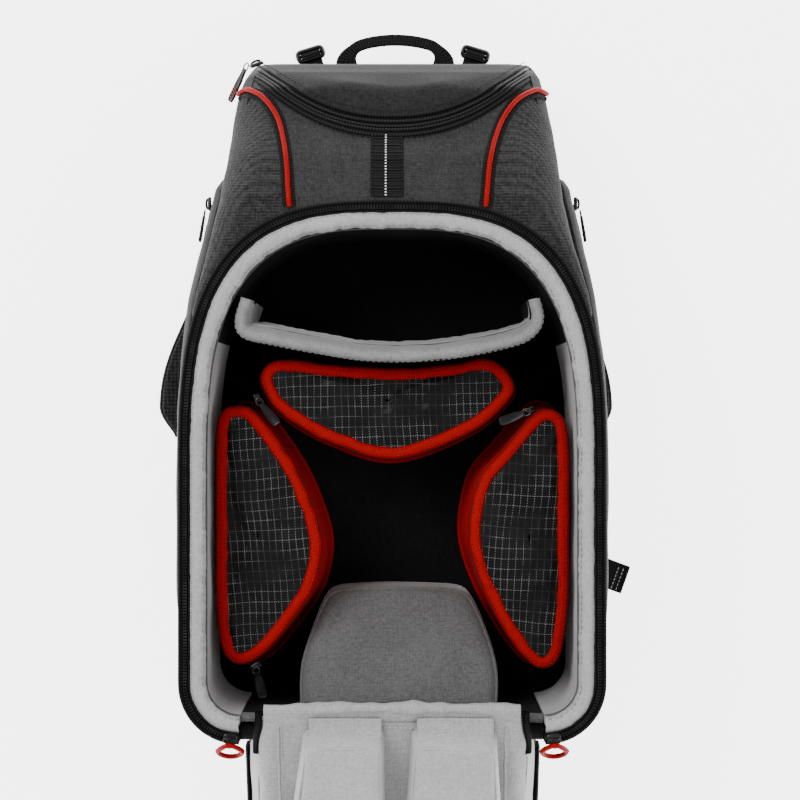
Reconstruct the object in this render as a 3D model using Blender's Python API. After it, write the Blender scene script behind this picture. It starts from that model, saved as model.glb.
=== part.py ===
"""Soft carrying backpack for a quadcopter, lying on its back with the front panel unzipped.

Metres, +Z up. The pack lies on its back pads at z = 0, with its head end towards +Y.
The front panel is folded back over the lower end, so the padded bay faces up.
"""
import math

import bmesh
import bpy
from mathutils import Vector

# ---------------------------------------------------------------- driving dimensions
GAP = 0.0003                # clearance between touching pieces
BACK_PAD_TOP = 0.0177       # the back pads carry the pack
PANEL_LOW = 0.018
PANEL_TOP = 0.036
FLOOR_LOW = 0.0363
FLOOR_TOP = 0.040
BASE_Z = 0.0403             # everything in the bay stands at this height
WALL_TOP = 0.200            # plane of the main opening
WALL_THICK = 0.012

# main opening, at the line of the zip
OPEN_HALF = 0.163
OPEN_CORNER = 0.045         # radius of the two lower corners
OPEN_CORNER_X = 0.118
OPEN_CORNER_Y = -0.218
OPEN_ARCH_Y = -0.060        # where the straight sides end and the arch begins
OPEN_ARCH_RISE = 0.212
OPEN_ARCH_POWER = 3.0
BODY_CORNER = 0.047         # lower corner radius of the outer body

# head end of the body
HOOD_EDGE_Y = 0.2187        # where the front slopes over into the rounded top
HOOD_EDGE_Z = 0.170
HOOD_END_Y = 0.278
HOOD_END_Z = 0.045

# zip of the head compartment: a smile-shaped line across the hood
LID_ZIP_Y = 0.2187
LID_ZIP_RISE = 0.048
LID_ZIP_HALF = 0.107
LID_ZIP_POWER = 2.2
LID_HINGE = Vector((0.0, 0.2785, 0.0515))

# front panel (flap), folded open
FLAP_HINGE = Vector((0.0, -0.240, 0.206))
FLAP_DROOP = math.radians(26.5)
FLAP_CREASE = 0.092         # half width of the flat middle of the flap
FLAP_INSET = 0.0015
FLAP_LINING = (-0.0045, -0.0005)
FLAP_SHELL = (-0.0128, -0.0048)
WING_PIVOT_N = -0.0130
WING_FOLD = math.radians(80.0)
WING_START = 0.040          # nearest point of a wing to the hinge, at the crease

STRAP_HINGE_Y = 0.2260      # the shoulder straps swing about their sewn upper ends

POUCH_TOP = 0.145
POUCH_WALL = 0.003
POUCH_FLARE = 1.07
POUCH_LID_THICK = 0.0076
CRADLE_TOP = 0.198
CRADLE_THICK = 0.009

# ---------------------------------------------------------------- colours
COLOURS = {
    "outer_fabric": ((0.045, 0.045, 0.047), 0.85, 0.0),
    "mesh_fabric": ((0.030, 0.030, 0.032), 0.9, 0.0),
    "lining_grey": ((0.55, 0.55, 0.55), 0.9, 0.0),
    "flap_grey": ((0.36, 0.36, 0.36), 0.85, 0.0),
    "floor_black": ((0.010, 0.010, 0.010), 0.95, 0.0),
    "red_trim": ((0.62, 0.008, 0.005), 0.55, 0.0),
    "webbing": ((0.012, 0.012, 0.012), 0.8, 0.0),
    "zip": ((0.015, 0.015, 0.015), 0.5, 0.0),
    "hardware": ((0.02, 0.02, 0.02), 0.35, 0.0),
    "slider_metal": ((0.09, 0.09, 0.09), 0.3, 1.0),
}


# ---------------------------------------------------------------- general helpers
def clear_scene():
    for obj in list(bpy.data.objects):
        bpy.data.objects.remove(obj, do_unlink=True)


def material(name, kind):
    colour, roughness, metallic = COLOURS[kind]
    mat = bpy.data.materials.new(name)
    mat.use_nodes = True
    shader = mat.node_tree.nodes["Principled BSDF"]
    shader.inputs["Base Color"].default_value = (*colour, 1.0)
    shader.inputs["Roughness"].default_value = roughness
    shader.inputs["Metallic"].default_value = metallic
    return mat


def add_mesh(name, verts, faces, kind, origin=(0.0, 0.0, 0.0)):
    """A closed mesh object in its own material, with its origin moved to `origin`."""
    origin = Vector(origin)
    mesh = bpy.data.meshes.new(name)
    mesh.from_pydata([Vector(v) - origin for v in verts], [], faces)
    bm = bmesh.new()
    bm.from_mesh(mesh)
    bmesh.ops.recalc_face_normals(bm, faces=bm.faces)
    bm.to_mesh(mesh)
    bm.free()
    mesh.shade_smooth()
    mesh.set_sharp_from_angle(angle=math.radians(35.0))
    obj = bpy.data.objects.new(name, mesh)
    obj.location = origin
    obj.data.materials.append(material(name, kind))
    bpy.context.scene.collection.objects.link(obj)
    return obj


def loft(rings, closed=False):
    """Skin a list of equal rings; an open run is closed by a face at each end."""
    count = len(rings[0])
    verts = [point for ring in rings for point in ring]
    faces = []
    spans = len(rings) if closed else len(rings) - 1
    for row in range(spans):
        low = row * count
        high = ((row + 1) % len(rings)) * count
        for col in range(count):
            nxt = (col + 1) % count
            faces.append((low + col, low + nxt, high + nxt, high + col))
    if not closed:
        faces.append(tuple(reversed(range(count))))
        faces.append(tuple(range(len(verts) - count, len(verts))))
    return verts, faces


def hide_cutter(obj):
    obj.hide_render = True
    obj.display_type = "WIRE"


def cut(obj, cutter, operation="DIFFERENCE"):
    mod = obj.modifiers.new(cutter.name, "BOOLEAN")
    mod.object = cutter
    mod.operation = operation
    mod.solver = "EXACT"


def box(name, low, high, kind="hardware"):
    corners = [(low[0], low[1]), (high[0], low[1]), (high[0], high[1]), (low[0], high[1])]
    rings = [[(x, y, z) for x, y in corners] for z in (low[2], high[2])]
    verts, faces = loft(rings)
    return add_mesh(name, verts, faces, kind)


def smooth_loop(points, steps):
    """Closed Catmull-Rom curve through the given points."""
    out = []
    count = len(points)
    for i in range(count):
        a, b, c, d = (Vector(points[(i + k) % count]) for k in (-1, 0, 1, 2))
        for step in range(steps):
            t = step / steps
            out.append(catmull(a, b, c, d, t))
    return out


def smooth_path(points, steps):
    """Open Catmull-Rom curve through the given points."""
    pts = [Vector(p) for p in points]
    pts = [2 * pts[0] - pts[1]] + pts + [2 * pts[-1] - pts[-2]]
    out = []
    for i in range(1, len(pts) - 2):
        for step in range(steps):
            out.append(catmull(pts[i - 1], pts[i], pts[i + 1], pts[i + 2], step / steps))
    out.append(pts[-2])
    return out


def catmull(a, b, c, d, t):
    return 0.5 * (2 * b + (c - a) * t + (2 * a - 5 * b + 4 * c - d) * t * t
                  + (3 * b - a - 3 * c + d) * t ** 3)


def grow(loop, amount):
    """Move each point of a closed, anticlockwise plan outline outwards."""
    out = []
    count = len(loop)
    for i, point in enumerate(loop):
        ahead = loop[(i + 1) % count] - loop[i - 1]
        normal = Vector((ahead.y, -ahead.x)).normalized()
        out.append(point + normal * amount)
    return out


def anticlockwise(loop):
    area = sum(loop[i - 1].x * loop[i].y - loop[i].x * loop[i - 1].y for i in range(len(loop)))
    return loop if area > 0 else list(reversed(loop))


def rounded_rect(width, height, radius, steps=4):
    """Anticlockwise outline centred on the origin."""
    out = []
    for cx, cy, start in ((1, -1, -90), (1, 1, 0), (-1, 1, 90), (-1, -1, 180)):
        for step in range(steps + 1):
            angle = math.radians(start + 90 * step / steps)
            out.append(Vector((cx * (width / 2 - radius) + radius * math.cos(angle),
                               cy * (height / 2 - radius) + radius * math.sin(angle))))
    return out


def at_height(loop, z):
    return [Vector((p.x, p.y, z)) for p in loop]


def tube(points, radius, sides=8, closed=False):
    """Round cord through a list of 3-D points."""
    rings = []
    count = len(points)
    for i, point in enumerate(points):
        if closed:
            ahead = points[(i + 1) % count] - points[i - 1]
        else:
            ahead = points[min(i + 1, count - 1)] - points[max(i - 1, 0)]
        ahead.normalize()
        side = ahead.cross(Vector((0, 0, 1)))
        side.normalize()
        up = side.cross(ahead)
        ring = []
        for k in range(sides):
            angle = 2 * math.pi * k / sides
            ring.append(point + radius * (side * math.cos(angle) + up * math.sin(angle)))
        rings.append(ring)
    return loft(rings, closed)


def ribbon(points, width, thick):
    """Flat band through 3-D points, thick along +Z."""
    rings = []
    count = len(points)
    for i, point in enumerate(points):
        ahead = (points[min(i + 1, count - 1)] - points[max(i - 1, 0)]).normalized()
        side = ahead.cross(Vector((0, 0, 1))).normalized()
        lift = side.cross(ahead)
        rings.append([point + side * sx * width / 2 + lift * sz * thick / 2
                      for sx, sz in ((-1, -1), (1, -1), (1, 1), (-1, 1))])
    return loft(rings)


# ---------------------------------------------------------------- body outline and loft
def body_sections():
    """(y, half width, top height, top corner radius) from the lower end to the head end."""
    rows = []
    for angle in (90, 65, 40, 18):
        a = math.radians(angle)
        y = OPEN_CORNER_Y - BODY_CORNER * math.sin(a)
        rows.append((y, OPEN_CORNER_X + BODY_CORNER * math.cos(a), WALL_TOP, 0.003))
    rows += [
        (OPEN_CORNER_Y, 0.165, WALL_TOP, 0.003),
        (OPEN_ARCH_Y, 0.165, WALL_TOP, 0.003),
        (-0.010, 0.1640, WALL_TOP, 0.003),
        (0.030, 0.1610, WALL_TOP, 0.003),
        (0.080, 0.1520, WALL_TOP, 0.006),
        (0.118, 0.1420, WALL_TOP, 0.016),
        (0.155, 0.134, WALL_TOP, 0.028),
        (0.190, 0.130, 0.188, 0.036),
    ]
    depth = HOOD_END_Y - HOOD_EDGE_Y
    for angle, half in ((0, 0.127), (25, 0.122), (45, 0.119), (62, 0.116), (76, 0.114), (90, 0.112)):
        a = math.radians(angle)
        y = HOOD_EDGE_Y + depth * math.sin(a)
        top = HOOD_END_Z + (HOOD_EDGE_Z - HOOD_END_Z) * math.cos(a)
        rows.append((y, half, top, min(0.038, 0.6 * (top - FLOOR_LOW))))
    return rows


def section_at(y):
    rows = body_sections()
    if y <= rows[0][0]:
        return rows[0][1:]
    for low, high in zip(rows, rows[1:]):
        if y <= high[0]:
            t = (y - low[0]) / (high[0] - low[0])
            return tuple(low[k] + (high[k] - low[k]) * t for k in (1, 2, 3))
    return rows[-1][1:]


def body_ring(y, half, top, radius, margin, base):
    """One boxy cross-section with rounded top corners and a slight crown."""
    half += margin
    top += margin
    steps = 4
    ring = [Vector((-half, y, base)), Vector((half, y, base))]
    for step in range(steps + 1):
        a = math.radians(90 * step / steps)
        ring.append(Vector((half - radius + radius * math.cos(a), y, top - radius + radius * math.sin(a))))
    ring.append(Vector((0, y, top)))
    for step in range(steps + 1):
        a = math.radians(90 + 90 * step / steps)
        ring.append(Vector((-half + radius + radius * math.cos(a), y, top - radius + radius * math.sin(a))))
    return ring


def body_loft(name, margin=0.0, base=FLOOR_LOW, y_low=None, y_high=None, kind="outer_fabric"):
    rows = body_sections()
    low = rows[0][0] - margin if y_low is None else y_low
    high = rows[-1][0] + margin if y_high is None else y_high
    rings = [body_ring(low, *section_at(low), margin, base)]
    for y, half, top, radius in rows:
        if low + 0.001 < y < high - 0.001:
            rings.append(body_ring(y, half, top, radius, margin, base))
    rings.append(body_ring(high, *section_at(high), margin, base))
    return add_mesh(name, *loft(rings), kind)


def hood_height(x, y):
    """Height of the outer body above the plan point (x, y)."""
    half, top, radius = section_at(y)
    over = abs(x) - (half - radius)
    if over <= 0:
        return top
    return top - radius + math.sqrt(max(radius ** 2 - over ** 2, 0.0))


def above_hood(x, y, lift):
    """Point standing off the hood by `lift`, square to its surface."""
    step = 0.002
    slope_x = (hood_height(x + step, y) - hood_height(x - step, y)) / (2 * step)
    slope_y = (hood_height(x, y + step) - hood_height(x, y - step)) / (2 * step)
    normal = Vector((-slope_x, -slope_y, 1.0)).normalized()
    return Vector((x, y, hood_height(x, y))) + normal * lift


# ---------------------------------------------------------------- opening outline
def rim_side(inset, sign):
    """Lower corner and straight side, from the lower end upwards."""
    radius = OPEN_CORNER - inset
    points = [Vector((OPEN_CORNER_X + GAP / 2, OPEN_CORNER_Y - radius))]
    for step in range(1, 8):
        a = math.radians(-90 + 90 * step / 8)
        points.append(Vector((OPEN_CORNER_X + radius * math.cos(a), OPEN_CORNER_Y + radius * math.sin(a))))
    for y in (OPEN_CORNER_Y, -0.14, OPEN_ARCH_Y - GAP / 2):
        points.append(Vector((OPEN_HALF - inset, y)))
    return [Vector((sign * p.x, p.y)) for p in points]


def rim_arch(inset, steps=26):
    """Arched head end of the opening, from the left side over to the right."""
    half = OPEN_HALF - inset
    rise = OPEN_ARCH_RISE - inset
    power = 2.0 / OPEN_ARCH_POWER
    points = []
    for step in range(steps + 1):
        a = math.pi * (1 - step / steps)
        x = half * math.copysign(abs(math.cos(a)) ** power, math.cos(a))
        y = OPEN_ARCH_Y + GAP / 2
        if 0 < step < steps:
            y += rise * math.sin(a) ** power
        points.append(Vector((x, y)))
    return points


def rim_bottom(inset):
    y = OPEN_CORNER_Y - OPEN_CORNER + inset
    return [Vector((x, y)) for x in (-OPEN_CORNER_X, OPEN_CORNER_X)]


def sweep_rim(profile, path):
    """Carry a (inset, z) profile along one stretch of the opening's rim."""
    tracks = [path(inset) for inset, _ in profile]
    rings = []
    for row in range(len(tracks[0])):
        rings.append([Vector((track[row].x, track[row].y, z))
                      for track, (_, z) in zip(tracks, profile)])
    return loft(rings)


def full_opening(inset):
    """Closed plan outline of the whole opening, anticlockwise."""
    right = rim_side(inset, 1)
    arch = list(reversed(rim_arch(inset)))
    left = list(reversed(rim_side(inset, -1)))
    return right + arch + left


# ---------------------------------------------------------------- fixed body of the pack
def make_back():
    rows = body_sections()
    right = [Vector((half, y)) for y, half, _, _ in rows]
    left = [Vector((-p.x, p.y)) for p in reversed(right)]
    outline = right + left
    rings = [at_height(outline, PANEL_LOW), at_height(outline, PANEL_TOP)]
    add_mesh("back_panel", *loft(rings), "outer_fabric")
    for name, centre_y, width, height in (("back_pad_main", 0.0, 0.150, 0.240),
                                          ("back_pad_lumbar", -0.187, 0.170, 0.110)):
        rings = []
        for z, shrink in ((0.0, 0.008), (0.004, 0.0), (0.014, 0.0), (BACK_PAD_TOP, 0.006)):
            loop = rounded_rect(width - shrink, height - shrink, 0.030)
            rings.append([Vector((p.x, p.y + centre_y, z)) for p in loop])
        add_mesh(name, *loft(rings), "mesh_fabric")
    floor = full_opening(WALL_THICK + GAP)
    rings = [at_height(floor, FLOOR_LOW), at_height(floor, FLOOR_TOP)]
    add_mesh("bay_floor", *loft(rings), "floor_black")


def make_shell():
    """The four outer panels, cut from one rounded body around the bay and the head compartment."""
    cavity_loop = full_opening(WALL_THICK)
    cavity = add_mesh("bay_cutter", *loft([at_height(cavity_loop, 0.02), at_height(cavity_loop, 0.25)]),
                      "outer_fabric")
    hide_cutter(cavity)
    head_bay = body_loft("head_bay_cutter", -0.009, FLOOR_LOW - 0.01, 0.166, 0.268)
    hide_cutter(head_bay)
    lid_gap = add_mesh("lid_cutter", *lid_region(0.0), "outer_fabric")
    hide_cutter(lid_gap)

    corner_x = OPEN_CORNER_X + 0.001
    side_top = OPEN_ARCH_Y
    regions = (
        ("lower_panel", (-corner_x, -0.30), (corner_x, -0.20)),
        ("side_panel_left", (-0.20, -0.30), (-corner_x - GAP, side_top)),
        ("side_panel_right", (corner_x + GAP, -0.30), (0.20, side_top)),
        ("hood_panel", (-0.20, side_top + GAP), (0.20, 0.32)),
    )
    for name, low, high in regions:
        panel = body_loft(name)
        cut(panel, cavity)
        if name == "hood_panel":
            cut(panel, head_bay)
            cut(panel, lid_gap)
        if name == "lower_panel":
            low_edge = box("lower_edge_cutter", (-0.2, -0.3, 0.172), (0.2, -0.2, 0.30))
            hide_cutter(low_edge)
            cut(panel, low_edge)
        region = box(name + "_region", (*low, 0.0), (*high, 0.30))
        hide_cutter(region)
        cut(panel, region, "INTERSECT")


def make_linings():
    """Padded grey lining: a wall skin with a soft roll along its free edge."""
    wall = WALL_THICK + GAP
    face = 0.0190
    roll = [(wall, BASE_Z), (face, BASE_Z), (face, 0.180), (0.0215, 0.186), (0.0225, 0.193),
            (0.0212, 0.200), (0.0180, 0.2040), (0.0140, 0.2050), (0.0106, 0.2036),
            (0.0096, 0.2003), (wall, 0.2003)]
    add_mesh("lining_left", *sweep_rim(roll, lambda d: rim_side(d, -1)), "lining_grey")
    add_mesh("lining_right", *sweep_rim(roll, lambda d: rim_side(d, 1)), "lining_grey")
    add_mesh("lining_arch", *sweep_rim(roll, rim_arch), "lining_grey")
    low = [(wall, BASE_Z), (face, BASE_Z), (face, 0.176), (0.0205, 0.180), (0.0185, 0.185),
           (0.0150, 0.185), (wall, 0.181)]
    add_mesh("lining_lower", *sweep_rim(low, rim_bottom), "lining_grey")


def make_main_zip():
    """One continuous zip half: woven tape with a raised row of teeth, round three sides."""
    low = 0.2003
    profile = [(0.0, low), (0.0090, low), (0.0090, 0.2014), (0.0052, 0.2014), (0.0046, 0.2034),
               (0.0016, 0.2034), (0.0010, 0.2014), (0.0, 0.2014)]

    def whole(inset):
        return rim_side(inset, -1) + rim_arch(inset)[1:-1] + list(reversed(rim_side(inset, 1)))

    add_mesh("main_zip", *sweep_rim(profile, whole), "zip")


# ---------------------------------------------------------------- head compartment
def lid_line(x, shift=0.0):
    return LID_ZIP_Y + LID_ZIP_RISE * (abs(x) / LID_ZIP_HALF) ** LID_ZIP_POWER + shift


def lid_region(shift):
    """Upright prism over everything beyond the smile-shaped zip."""
    reach = 0.111 - shift * 0.3
    top_y = 0.300
    loop = [Vector((reach * (1 - 2 * i / 16), 0.0)) for i in range(17)]
    loop = [Vector((p.x, lid_line(p.x, shift))) for p in loop]
    loop = [Vector((-reach, top_y)), Vector((reach, top_y))] + loop
    loop = anticlockwise(loop)
    low = 0.0520 + shift
    return loft([at_height(loop, low), at_height(loop, 0.25)])


def make_lid():
    lid = body_loft("head_lid", y_low=0.200)
    inner = body_loft("lid_inner_cutter", -0.007, FLOOR_LOW - 0.01, 0.190, 0.2715)
    hide_cutter(inner)
    region = add_mesh("lid_region", *lid_region(0.0006), "outer_fabric")
    hide_cutter(region)
    cut(lid, inner)
    cut(lid, region, "INTERSECT")
    path = []
    for i in range(33):
        x = -LID_ZIP_HALF + 2 * LID_ZIP_HALF * i / 32
        y = lid_line(x, -0.0045)
        path.append(above_hood(x, y, 0.0036))
    add_mesh("lid_zip", *tube(path, 0.0024, 6), "zip")


def make_hood_trim():
    """Red piping down both edges of the hood's middle panel, and the webbing strip between."""
    routes = {
        "piping_left": ((-0.1205, 0.2430), (-0.1130, 0.2440), (-0.1010, 0.2370), (-0.0895, 0.2190),
                        (-0.0825, 0.1900), (-0.0800, 0.1600)),
        "piping_right": ((0.1205, 0.2430), (0.1100, 0.2430), (0.0960, 0.2330), (0.0840, 0.2130),
                         (0.0760, 0.1860), (0.0730, 0.1600)),
    }
    for name, route in routes.items():
        flat = smooth_path([Vector(p) for p in route], 4)
        path = [above_hood(p.x, p.y, 0.0032) for p in flat]
        add_mesh(name, *tube(path, 0.0022, 6), "red_trim")
    strip = [Vector((-0.0040, y, hood_height(0.0, y) + 0.0014)) for y in (0.158, 0.172, 0.190, 0.2085)]
    add_mesh("hood_webbing", *ribbon(strip, 0.026, 0.0016), "webbing")


# ---------------------------------------------------------------- zip sliders and pulls
def slider(name, at, along, up=(0.0, 0.0, 1.0), size=(0.011, 0.008, 0.0034)):
    """Small rounded slider body standing on the teeth at `at`."""
    up = Vector(up).normalized()
    side = up.cross(Vector(along)).normalized()
    along = side.cross(up)
    at = Vector(at)
    rings = []
    for level, shrink in ((0.0, 0.0), (0.7, 0.0), (1.0, 0.002)):
        loop = rounded_rect(size[0] - shrink, size[1] - shrink, 0.0018, 2)
        rings.append([at + along * p.x + side * p.y + up * size[2] * level for p in loop])
    return add_mesh(name, *loft(rings), "slider_metal")


def pull_tab(name, hinge, direction, side, length=0.024, width=0.007, thick=0.0022, kind="hardware"):
    """Flat moulded pull, narrow at the hinge, with its origin on the hinge."""
    hinge = Vector(hinge)
    direction = Vector(direction).normalized()
    side = (Vector(side) - Vector(side).dot(direction) * direction).normalized()
    lift = direction.cross(side)
    outline = ((0.0, 0.32), (0.25, 0.36), (0.45, 0.50), (0.92, 0.50), (1.0, 0.36),
               (1.0, -0.36), (0.92, -0.50), (0.45, -0.50), (0.25, -0.36), (0.0, -0.32))
    rings = []
    for level in (-0.5, 0.5):
        rings.append([hinge + direction * (a * length) + side * (b * width) + lift * (level * thick)
                      for a, b in outline])
    return add_mesh(name, *loft(rings), kind, hinge)


def make_main_pulls():
    """A slider at each end of the main zip, with a red cord loop hanging over the wall."""
    for name, sign in (("left", -1), ("right", 1)):
        x = sign * (OPEN_CORNER_X + 0.006)
        radius = OPEN_CORNER
        y = OPEN_CORNER_Y - math.sqrt(radius ** 2 - 0.006 ** 2) + 0.003
        slider("main_slider_" + name, (x, y, 0.2037), (1.0, 0.1 * sign, 0.0))
        hinge = Vector((x + sign * 0.001, -0.2700, 0.2040))
        out = Vector((0.0, -math.cos(math.radians(62)), -math.sin(math.radians(62))))
        across = Vector((1.0, 0.0, 0.0))
        loop = []
        for step in range(20):
            a = 2 * math.pi * step / 20
            wide = 0.0095 * math.sin(a) * (0.55 + 0.45 * min(1.0, (1 - math.cos(a))))
            loop.append(hinge + out * (0.0015 + 0.011 * (1 - math.cos(a))) + across * wide)
        add_mesh("main_pull_" + name, *tube(loop, 0.0015, 6, closed=True), "red_trim", hinge)


def make_lid_pull():
    """Slider at the left end of the head zip, with a long pull lying over the side."""
    x = -LID_ZIP_HALF
    y = lid_line(x, -0.0045)
    seat = above_hood(x, y, 0.0066)
    normal = (seat - above_hood(x, y, 0.0)).normalized()
    slider("lid_slider", seat, (0.7, 0.6, -0.2), normal)
    hinge = seat + normal * 0.0042 + Vector((-0.0060, -0.0020, 0.0))
    pull_tab("lid_pull", hinge, (-0.44, -0.88, -0.22), (-0.5, 0.3, -0.6), 0.034, 0.006)


# ---------------------------------------------------------------- side pockets
POCKET_ROWS = ((-0.212, 0.0010, 0.030), (-0.200, 0.0045, 0.048), (-0.150, 0.0065, 0.058),
               (-0.050, 0.0070, 0.060), (0.020, 0.0070, 0.060), (0.060, 0.0095, 0.060),
               (0.110, 0.0115, 0.056), (0.150, 0.0120, 0.050), (0.168, 0.0100, 0.040),
               (0.178, 0.0040, 0.022))
POCKET_MID_Z = 0.104


def make_side_pockets():
    hugging = body_loft("pocket_cutter", GAP, 0.0)
    hide_cutter(hugging)
    for name, sign in (("left", -1), ("right", 1)):
        rings = []
        for y, bulge, tall in POCKET_ROWS:
            half = section_at(y)[0]
            centre = half - 0.005
            reach = 0.005 + bulge
            ring = []
            for step in range(16):
                a = 2 * math.pi * step / 16
                ca, sa = math.cos(a), math.sin(a)
                ring.append(Vector((sign * (centre + reach * math.copysign(abs(ca) ** 0.75, ca)), y,
                                    POCKET_MID_Z + tall * math.copysign(abs(sa) ** 0.75, sa))))
            rings.append(ring)
        pocket = add_mesh("side_pocket_" + name, *loft(rings), "outer_fabric")
        cut(pocket, hugging)
        x = sign * (section_at(0.158)[0] + 0.0125)
        slider("pocket_slider_" + name, (x, 0.158, 0.112), (0.0, 1.0, 0.0), (sign, 0.0, 0.0))
        pull_tab("pocket_pull_" + name, (x + sign * 0.0050, 0.153, 0.112),
                 (sign * 0.16, -0.97, 0.0), (0.0, 0.0, 1.0), 0.026)


# ---------------------------------------------------------------- handle, harness
def pad_section(width, thick):
    return rounded_rect(width, thick, thick * 0.42, 2)


def band(points, section, up=(0.0, 0.0, 1.0)):
    """Carry a 2-D section along 3-D points, keeping its height along `up`."""
    rings = []
    count = len(points)
    up = Vector(up)
    for i, point in enumerate(points):
        ahead = (points[min(i + 1, count - 1)] - points[max(i - 1, 0)]).normalized()
        side = ahead.cross(up).normalized()
        rings.append([point + side * p.x + up * p.y for p in section])
    return loft(rings)


def make_handle():
    route = ((-0.0386, 0.2814, 0.0330), (-0.0384, 0.2850, 0.0337), (-0.0350, 0.2915, 0.0350),
             (-0.0265, 0.2975, 0.0365), (-0.0080, 0.3010, 0.0375), (0.0120, 0.3010, 0.0375),
             (0.0310, 0.2975, 0.0365), (0.0392, 0.2915, 0.0350), (0.0423, 0.2850, 0.0337),
             (0.0425, 0.2814, 0.0330))
    path = smooth_path(route, 2)
    hinge = (0.0, 0.2795, 0.0330)
    add_mesh("grab_handle", *band(path, pad_section(0.011, 0.004)), "webbing", hinge)


def make_harness():
    for name, sign, out in (("left", -1, 0.1665), ("right", 1, 0.1545)):
        turn = math.radians(-17 * sign)
        rings = []
        for z, shrink in ((0.0335, 0.001), (0.0345, 0.0), (0.0405, 0.0), (0.0420, 0.0015)):
            loop = rounded_rect(0.025 - shrink, 0.012 - shrink, 0.002, 2)
            ring = []
            for p in loop:
                x = p.x * math.cos(turn) - p.y * math.sin(turn)
                y = p.x * math.sin(turn) + p.y * math.cos(turn)
                ring.append(Vector((sign * 0.069 + x, 0.2895 + y, z)))
            rings.append(ring)
        add_mesh("lifter_buckle_" + name, *loft(rings), "hardware")

        route = ((0.062, 0.197), (out - 0.0700, 0.165), (out - 0.0450, 0.112), (out - 0.0210, 0.060),
                 (out - 0.0030, 0.014), (out, -0.032))
        path = smooth_path([Vector((sign * x, y, 0.0068)) for x, y in route], 2)
        anchor = (sign * 0.062, STRAP_HINGE_Y, 0.0135)
        add_mesh("shoulder_strap_" + name, *band(path, pad_section(0.064, 0.0125)), "mesh_fabric", anchor)

        rings = []
        for z, shrink in ((0.0020, 0.001), (0.0030, 0.0), (0.0090, 0.0), (0.0105, 0.002)):
            loop = rounded_rect(0.034 - shrink, 0.022 - shrink, 0.003, 2)
            rings.append([Vector((sign * out + p.x, -0.0445 + p.y, z)) for p in loop])
        add_mesh("ladder_lock_" + name, *loft(rings), "hardware")

        route = [Vector(p) for p in ((sign * out, -0.0565, 0.0060), (sign * (out - 0.003), -0.100, 0.0064),
                                     (sign * (out - 0.012), -0.160, 0.0100), (sign * 0.134, -0.222, 0.0155))]
        path = smooth_path(route, 2)
        add_mesh("lower_webbing_" + name, *band(path, pad_section(0.025, 0.0022)), "webbing")
    tail = [Vector(p) for p in ((0.168, -0.1425, 0.0022), (0.183, -0.148, 0.0022), (0.198, -0.1535, 0.0022))]
    add_mesh("strap_tail", *band(tail, pad_section(0.025, 0.0026)), "webbing")


# ---------------------------------------------------------------- front flap
def flap_point(x, s, n):
    """From the flap's own frame (across, along from the hinge, towards its inner side)."""
    run = Vector((0.0, -math.cos(FLAP_DROOP), -math.sin(FLAP_DROOP)))
    inner = Vector((0.0, -math.sin(FLAP_DROOP), math.cos(FLAP_DROOP)))
    return FLAP_HINGE + Vector((x, 0.0, 0.0)) + run * s + inner * n


def wing_point(x, s, n):
    """A point of a side wing, turned down about the crease."""
    sign = math.copysign(1.0, x)
    dx = abs(x) - FLAP_CREASE - GAP
    dn = n - WING_PIVOT_N
    turned_x = dx * math.cos(WING_FOLD) + dn * math.sin(WING_FOLD)
    turned_n = -dx * math.sin(WING_FOLD) + dn * math.cos(WING_FOLD)
    return flap_point(sign * (FLAP_CREASE + GAP + turned_x), s, WING_PIVOT_N + turned_n)


def arch_reach(x):
    """Distance from the flap's hinge to the arch at the plan position x, flap closed."""
    half = OPEN_HALF - FLAP_INSET
    rise = OPEN_ARCH_RISE - FLAP_INSET
    ratio = min(abs(x) / half, 1.0)
    y = OPEN_ARCH_Y + rise * (1 - ratio ** OPEN_ARCH_POWER) ** (1 / OPEN_ARCH_POWER)
    return y - FLAP_HINGE.y


def middle_outline(start):
    loop = [Vector((-FLAP_CREASE, start)), Vector((FLAP_CREASE, start)), Vector((FLAP_CREASE, 0.20))]
    for i in range(13):
        x = FLAP_CREASE * (1 - 2 * i / 12)
        loop.append(Vector((x, arch_reach(x))))
    loop.append(Vector((-FLAP_CREASE, 0.20)))
    return loop


def wing_outline():
    half = OPEN_HALF - FLAP_INSET
    inner = FLAP_CREASE + GAP
    loop = [Vector((inner, WING_START)), Vector((half - 0.012, WING_START + 0.032)),
            Vector((half - 0.003, WING_START + 0.039)), Vector((half, WING_START + 0.048)),
            Vector((half, 0.12)), Vector((half, OPEN_ARCH_Y - FLAP_HINGE.y))]
    for x in (0.1600, 0.1560, 0.1500, 0.1400, 0.1280, 0.1140, inner):
        loop.append(Vector((x, arch_reach(x))))
    loop.append(Vector((inner, 0.20)))
    return loop


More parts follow.
